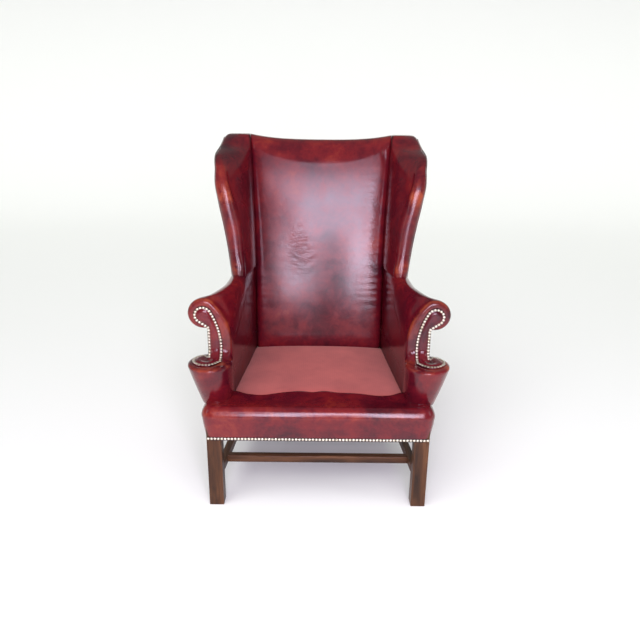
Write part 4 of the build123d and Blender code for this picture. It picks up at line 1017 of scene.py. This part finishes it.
def distances(points, outline):
    """Distance of each point to a closed outline."""
    d = np.roll(outline, -1, axis=0) - outline
    away = points[:, None, :] - outline[None]
    t = np.einsum("pij,ij->pi", away, d) / np.maximum(np.einsum("ij,ij->i", d, d), 1e-9)
    near = outline[None] + np.clip(t, 0, 1)[..., None] * d[None]
    return np.sqrt(((points[:, None, :] - near) ** 2).sum(-1)).min(1)


def inside(points, outline):
    hits = np.zeros(len(points), int)
    for (ax, ay), (bx, by) in zip(outline, np.roll(outline, -1, axis=0)):
        crossing = (ay > points[:, 1]) != (by > points[:, 1])
        at = ax + (points[:, 1] - ay) * (bx - ax) / (by - ay if by != ay else 1e-9)
        hits += crossing & (points[:, 0] < at)
    return hits % 2 == 1


def make_facing(name, side):
    outline = facing_outline()
    low, high = outline.min(0), outline.max(0)
    pitch = 2.6
    cloud = []
    for k, s in enumerate(np.arange(low[1], high[1], pitch)):
        shift = pitch / 2 if k % 2 else 0.0
        cloud += [(x + shift, s) for x in np.arange(low[0], high[0], pitch)]
    cloud = np.array(cloud)
    cloud = cloud[inside(cloud, outline)]
    cloud = cloud[distances(cloud, outline) > pitch * 0.6]
    flat = np.vstack([outline, cloud])
    edges = [(i, (i + 1) % len(outline)) for i in range(len(outline))]
    corners = [Vector(p) for p in flat]
    verts, _, faces, *_ = geometry.delaunay_2d_cdt(corners, edges, [], 1, 1e-4)
    flat = np.array([tuple(v) for v in verts])
    gap = distances(flat, outline)
    rise = 1.2 + 1.6 * ease(gap / 3.0) + 4.6 * ease((gap - 6.0) / 13.0)
    points = place(mirrored([unfold(x, s, r)[0] for (x, s), r in zip(flat, rise)], side))
    mesh = bpy.data.meshes.new("facing_" + name)
    mesh.from_pydata([tuple(p) for p in points], [], [tuple(f) for f in faces])
    obj = add_leather("facing_" + name, mesh, "arm_facing_" + name)
    tidy(mesh)
    # Painted shade round the facing's edge, under the nails and in the crease, weaker on the
    # shelf.
    layer = mesh.attributes.new("dark", "FLOAT", "POINT")
    for item, (x, s), d in zip(layer.data, flat, gap):
        on_shelf = x > 352.0 and s < BEND_Z - 25.0
        item.value = 0.85 * step(d, 10.0, 7.0) * (0.25 if on_shelf else 1.0)
    thickened(obj, 1.4, -1.0)


def nail_path():
    """Line of the facing's nails in the developed plane, across the stem's foot to the shelf."""
    x_out = FACING_OUT - NAIL_INSET
    turn = BEND_Z - BEND_R * radians(58)
    outline = facing_outline(NAIL_INSET)
    keep = [p for p in outline if not (abs(p[0] - x_out) < 0.01 and p[1] < turn)]
    first = max(i for i, p in enumerate(keep) if abs(p[0] - x_out) < 0.01) + 1
    shelf = (SHELF_C[0], SHELF_C[1], SHELF_C[2] - NAIL_INSET)
    rear_x = on_circle(shelf, 66)[0]
    after = next(i for i in range(first, len(keep)) if keep[i][0] > rear_x - 0.01)
    bridge = [np.array((STEM_OUT + 5.0, shelf_s(112.0)))]
    return np.array(keep[:first] + bridge + keep[after:])


# Nails: radius and height of the rings of a round head, and its tip
NAIL_RADIUS, NAIL_TIP, NAIL_SIDES = 4.7, 3.4, 14
NAIL_RINGS = [(0.86, -0.6), (1.0, 0.1), (0.97, 0.8), (0.80, 1.9), (0.48, 2.9)]
NAIL_Z = HEM + 7.0


def dome_mesh(spots):
    """Round-headed nails at (point, normal) spots in workshop millimetres."""
    bm = bmesh.new()
    angles = np.linspace(0, 2 * pi, NAIL_SIDES + 1)[:-1]
    for point, normal in spots:
        turn = Vector(normal).normalized().to_track_quat("Z", "Y").to_matrix().to_4x4()
        spot = Vector(place([point])[0])
        loops = []
        for share, h in NAIL_RINGS:
            r = NAIL_RADIUS * share
            ring = [Vector((r * cos(a), r * sin(a), h)) * MM for a in angles]
            loops.append([bm.verts.new(spot + turn @ corner) for corner in ring])
        tip = bm.verts.new(spot + turn @ Vector((0, 0, NAIL_TIP * MM)))
        for low, high in zip(loops, loops[1:]):
            for i in range(NAIL_SIDES):
                j = (i + 1) % NAIL_SIDES
                bm.faces.new((low[i], low[j], high[j], high[i]))
        for i in range(NAIL_SIDES):
            bm.faces.new((loops[-1][i], loops[-1][(i + 1) % NAIL_SIDES], tip))
        bm.faces.new(tuple(reversed(loops[0])))
    mesh = bpy.data.meshes.new("domes")
    bm.to_mesh(mesh)
    bm.free()
    shade(mesh)
    return mesh


def paced(points, pitch):
    """Points one pitch apart round a closed line."""
    points = np.asarray(points, float)
    lengths = np.linalg.norm(np.diff(np.vstack([points, points[:1]]), axis=0), axis=1)
    return resampled(points, max(round(lengths.sum() / pitch), 1))


def add_nails(name, spots, node):
    add_piece(name, dome_mesh(spots), BRASS, "brass", node)


def make_nails():
    front = [((x, -3.3, NAIL_Z), (0.0, -1.0, -0.08)) for x in np.linspace(-355.0, 355.0, 66)]
    add_nails("front_nail_heads", front, "front_nails")
    for name, side in SIDES.items():
        spots = []
        for x, s in paced(nail_path(), 10.6):
            point, normal = unfold(x, s, 3.0)
            spots.append((mirrored(point, side), normal))
        add_nails("facing_nail_heads_" + name, spots, "facing_nails_" + name)
        spots = []
        for y in np.linspace(ARM_FRONT + 8.0, POST_Y + POST_DEPTH - 8.0, 44):
            point = mirrored((half(y) + 3.2, y, NAIL_Z), side)
            spots.append((point, (side, SEAT_TAPER, 0.0)))
        add_nails("side_nail_heads_" + name, spots, "side_nails_" + name)


# Outside covers
COVER_OFF = 2.6


def outside_arm_rows():
    """Columns from the hem to the roll's underside, from the arm's front to the back post."""
    stations = [(station, None) for station in np.linspace(0.0, 1.0, 24)]
    stations += [(1.0 + 0.758 * t, t) for t in np.linspace(0.0, 1.0, 14)[1:]]
    rows = []
    for station, t in stations:
        stem_x, stem_z = arm_outline(min(station, 1.75), 0.0)[-STEM_POINTS - 1]
        line = half(ARM_FRONT + ARM_LENGTH * station) + COVER_OFF
        column = []
        for z in np.linspace(HEM, stem_z, 26):
            up = max((z - RAIL_TOP) / (stem_z - RAIL_TOP), 0.0)
            swell = 1.5 * sin(pi * min(max((z - HEM) / (stem_z - HEM), 0), 1))
            y = ARM_FRONT + ARM_LENGTH * station
            if t is not None:
                rear = POST_Y + POST_DEPTH if z < RAIL_TOP else back_y(z, POST_DEPTH)
                y = WING_FOOT_Y + (rear - WING_FOOT_Y) * t
            column.append((line + (stem_x + COVER_OFF - line) * up + swell, y, z))
        rows.append(column)
    return rows


def outside_wing_rows():
    rows = []
    for z in np.linspace(WING_BASE - 2.0, WING_TOP - 12.0, 60):
        front, outer, roll = wing_values(z)
        ear = step(z, 1030.0, 1100.0)
        start, end = front + roll / 2 + 9.0 * ear, back_y(z, POST_DEPTH)
        x1 = back_outer(z)
        column = []
        for t in np.linspace(0.0, 1.0, 26):
            off = 1.4 - 3.0 * ear * (1 - t) + 1.4 * sin(pi * t) + ear_out(z)
            column.append((outer + (x1 - outer) * t + off, start + (end - start) * t, z))
        rows.append(column)
    return rows


def make_outside(name, side):
    parts = (outside_arm_rows, outside_wing_rows)
    meshes = [grid_mesh(mirrored(rows(), side)) for rows in parts]
    mesh = joined(*meshes)
    obj = add_leather("outside_" + name, mesh, "outside_cover_" + name)
    tidy(mesh)
    thickened(obj, 1.8, 0.0)


def make_outside_back():
    low = np.linspace(HEM, RAIL_TOP, 12)[:-1]
    high = np.linspace(RAIL_TOP, CREST_TOP - 6.0, 70)
    rows = []
    for z in np.concatenate([low, high]):
        y = POST_Y + POST_DEPTH if z < RAIL_TOP else back_y(z, POST_DEPTH)
        width = float(back_outer(z) + ear_out(z)) + 1.0
        swell = 2.2 * sin(pi * min(max((z - HEM) / 880.0, 0), 1))
        ear = EAR_RISE if z > CREST_TOP - 30 else 0.0
        row = []
        for c in np.linspace(-1.0, 1.0, 61):
            row.append((c * width, y + 1.4 + swell * (1 - c**4), z + ear * abs(c) ** 3))
        rows.append(row)
    obj = add_leather("outside_back", grid_mesh(rows), "outside_back_cover")
    tidy(obj.data)
    thickened(obj, 1.8, 0.0)


def make_dust_cover():
    rows = []
    for t in np.linspace(0.0, 1.0, 40):
        y = 6.0 + (602.0 - 6.0) * t
        width = half(y) - 4.0
        row = []
        for c in np.linspace(-1.0, 1.0, 44):
            row.append((c * width, y, 249.6 - 2.5 * (1 - c**4) * sin(pi * t)))
        rows.append(row)
    mesh = grid_mesh(rows)
    obj = add_piece("dust_sheet", mesh, BLACK_CLOTH, "black_cloth", "dust_cover")
    tidy(mesh)


for side_name, sign in SIDES.items():
    for make in (make_arm, make_wing, make_facing, make_outside):
        make(side_name, sign)
make_back()
make_band()
make_deck()
make_nails()
make_outside_back()
make_dust_cover()

# Carried-over CAD nodes
NODE_MATERIALS = {
    "front_leg": MAHOGANY["Z"], "rear_leg": MAHOGANY["Z"], "side_stretcher": MAHOGANY["Y"],
    "cross_stretcher": MAHOGANY["X"], "rear_stretcher": MAHOGANY["X"],
    "front_seat_rail": BEECH["X"], "rear_seat_rail": BEECH["X"], "side_seat_rail": BEECH["Y"],
    "corner_blocks": BEECH["Z"], "crest_rail": BEECH["X"], "lower_back_rail": BEECH["X"],
    "back_post": BEECH["Z"], "arm_post": BEECH["Z"], "arm_rail": BEECH["Y"],
    "wing_post": BEECH["Z"], "wing_rail": BEECH["Y"],
    "seat_webbing": JUTE, "back_webbing": JUTE, "spring_canvas": JUTE, "seat_springs": STEEL,
}
for node_name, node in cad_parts.items():
    base = node_name.replace("_left", "").replace("_right", "")
    if base in NODE_MATERIALS:
        for slot in node.material_slots:
            slot.material = NODE_MATERIALS[base]

# Floor with a curved backdrop, in metres, and a dim room
SWEEP_START, SWEEP_RADIUS, FLOOR_HALF = 4.0, 3.0, 14.0
floor_material, floor_shader = new_material("floor")
floor_shader.inputs["Base Color"].default_value = (0.95, 0.95, 0.955, 1.0)
floor_shader.inputs["Roughness"].default_value = 0.9
floor_shader.inputs["Specular IOR Level"].default_value = 0.1
sweep = [(-9.0, 0.0), (SWEEP_START, 0.0)]
for a in quarter(17):
    sweep.append((SWEEP_START + SWEEP_RADIUS * sin(a), SWEEP_RADIUS * (1 - cos(a))))
sweep.append((SWEEP_START + SWEEP_RADIUS, 3.2))
sweep_mesh = bpy.data.meshes.new("floor")
sweep_mesh.from_pydata(
    [(x, y, z) for y, z in sweep for x in (-FLOOR_HALF, FLOOR_HALF)],
    [],
    [(i, i + 1, i + 3, i + 2) for i in range(0, 2 * len(sweep) - 2, 2)],
)
shade(sweep_mesh)
sweep_mesh.materials.append(floor_material)
floor = add_object("floor", sweep_mesh)

world = bpy.data.worlds.new("room")
bpy.context.scene.world = world
room = shader_of(world, "World", "Background")
room.inputs["Color"].default_value = (0.97, 1.0, 0.96, 1.0)
room.inputs["Strength"].default_value = 0.26


def add_light(name, kind, colour, aim):
    light = bpy.data.lights.new(name, kind)
    light.color = colour
    obj = add_object(name, light)
    obj.rotation_euler = Vector(aim).to_track_quat("-Z", "Y").to_euler()
    return obj


def area_light(name, place_at, size, radiance, colour, target):
    obj = add_light(name, "AREA", colour, Vector(target) - Vector(place_at))
    obj.location = place_at
    obj.data.shape = "RECTANGLE"
    obj.data.size, obj.data.size_y = size
    obj.data.energy = pi * size[0] * size[1] * radiance


# Windows in front, narrower towards the floor, as the inside back mirrors them
LILAC, PALE_LILAC, COOL = (0.93, 0.79, 1.0), (0.88, 0.77, 1.0), (0.96, 0.96, 1.0)
MIDDLE, LOW = (0.0, 0.2, 0.85), (0.0, 0.1, 0.6)
area_light("window_left", (-0.30, -2.95, 1.01), (0.46, 0.64), 17.0, LILAC, (-0.05, 0.2, 0.85))
area_light("window_right", (0.59, -2.95, 1.01), (0.38, 0.64), 21.0, LILAC, (0.10, 0.2, 0.85))
area_light("window_high", (0.24, -3.05, 1.53), (1.12, 0.40), 14.0, PALE_LILAC, MIDDLE)
area_light("window_crown", (0.165, -3.05, 1.80), (1.43, 0.14), 14.0, PALE_LILAC, MIDDLE)
area_light("window_top", (0.075, -3.05, 1.92), (1.75, 0.10), 14.0, PALE_LILAC, MIDDLE)
area_light("side_left", (-2.9, -1.4, 1.5), (0.4, 1.5), 3.0, COOL, LOW)
area_light("side_right", (2.9, -1.2, 1.5), (0.4, 1.5), 3.0, COOL, LOW)

sun = add_light("sun", "SUN", (0.98, 1.0, 0.95), (0.15, 0.62, -1.0))
sun.data.energy = 2.2
sun.data.angle = radians(70)
sun.visible_glossy = False

# Camera at the photograph's angle
camera_data = bpy.data.cameras.new("camera")
camera = add_object("camera", camera_data)
camera_data.lens = 36.45
camera_data.sensor_width = 36.0
pitch, roll_angle, yaw = radians(20.1), radians(-0.67), radians(0.19)
forward = Vector((sin(yaw) * cos(pitch), cos(yaw) * cos(pitch), -sin(pitch)))
right = Vector((cos(yaw), -sin(yaw), 0.0))
down = forward.cross(right)
x_axis = cos(roll_angle) * right + sin(roll_angle) * down
y_axis = sin(roll_angle) * right - cos(roll_angle) * down
turned = Matrix((x_axis, y_axis, -forward)).transposed().to_4x4()
camera.matrix_world = Matrix.Translation(Vector((-0.0043, -1.838 + Y_SHIFT, 1.3384))) @ turned
bpy.context.scene.camera = camera
bpy.context.scene.view_settings.view_transform = "Standard"
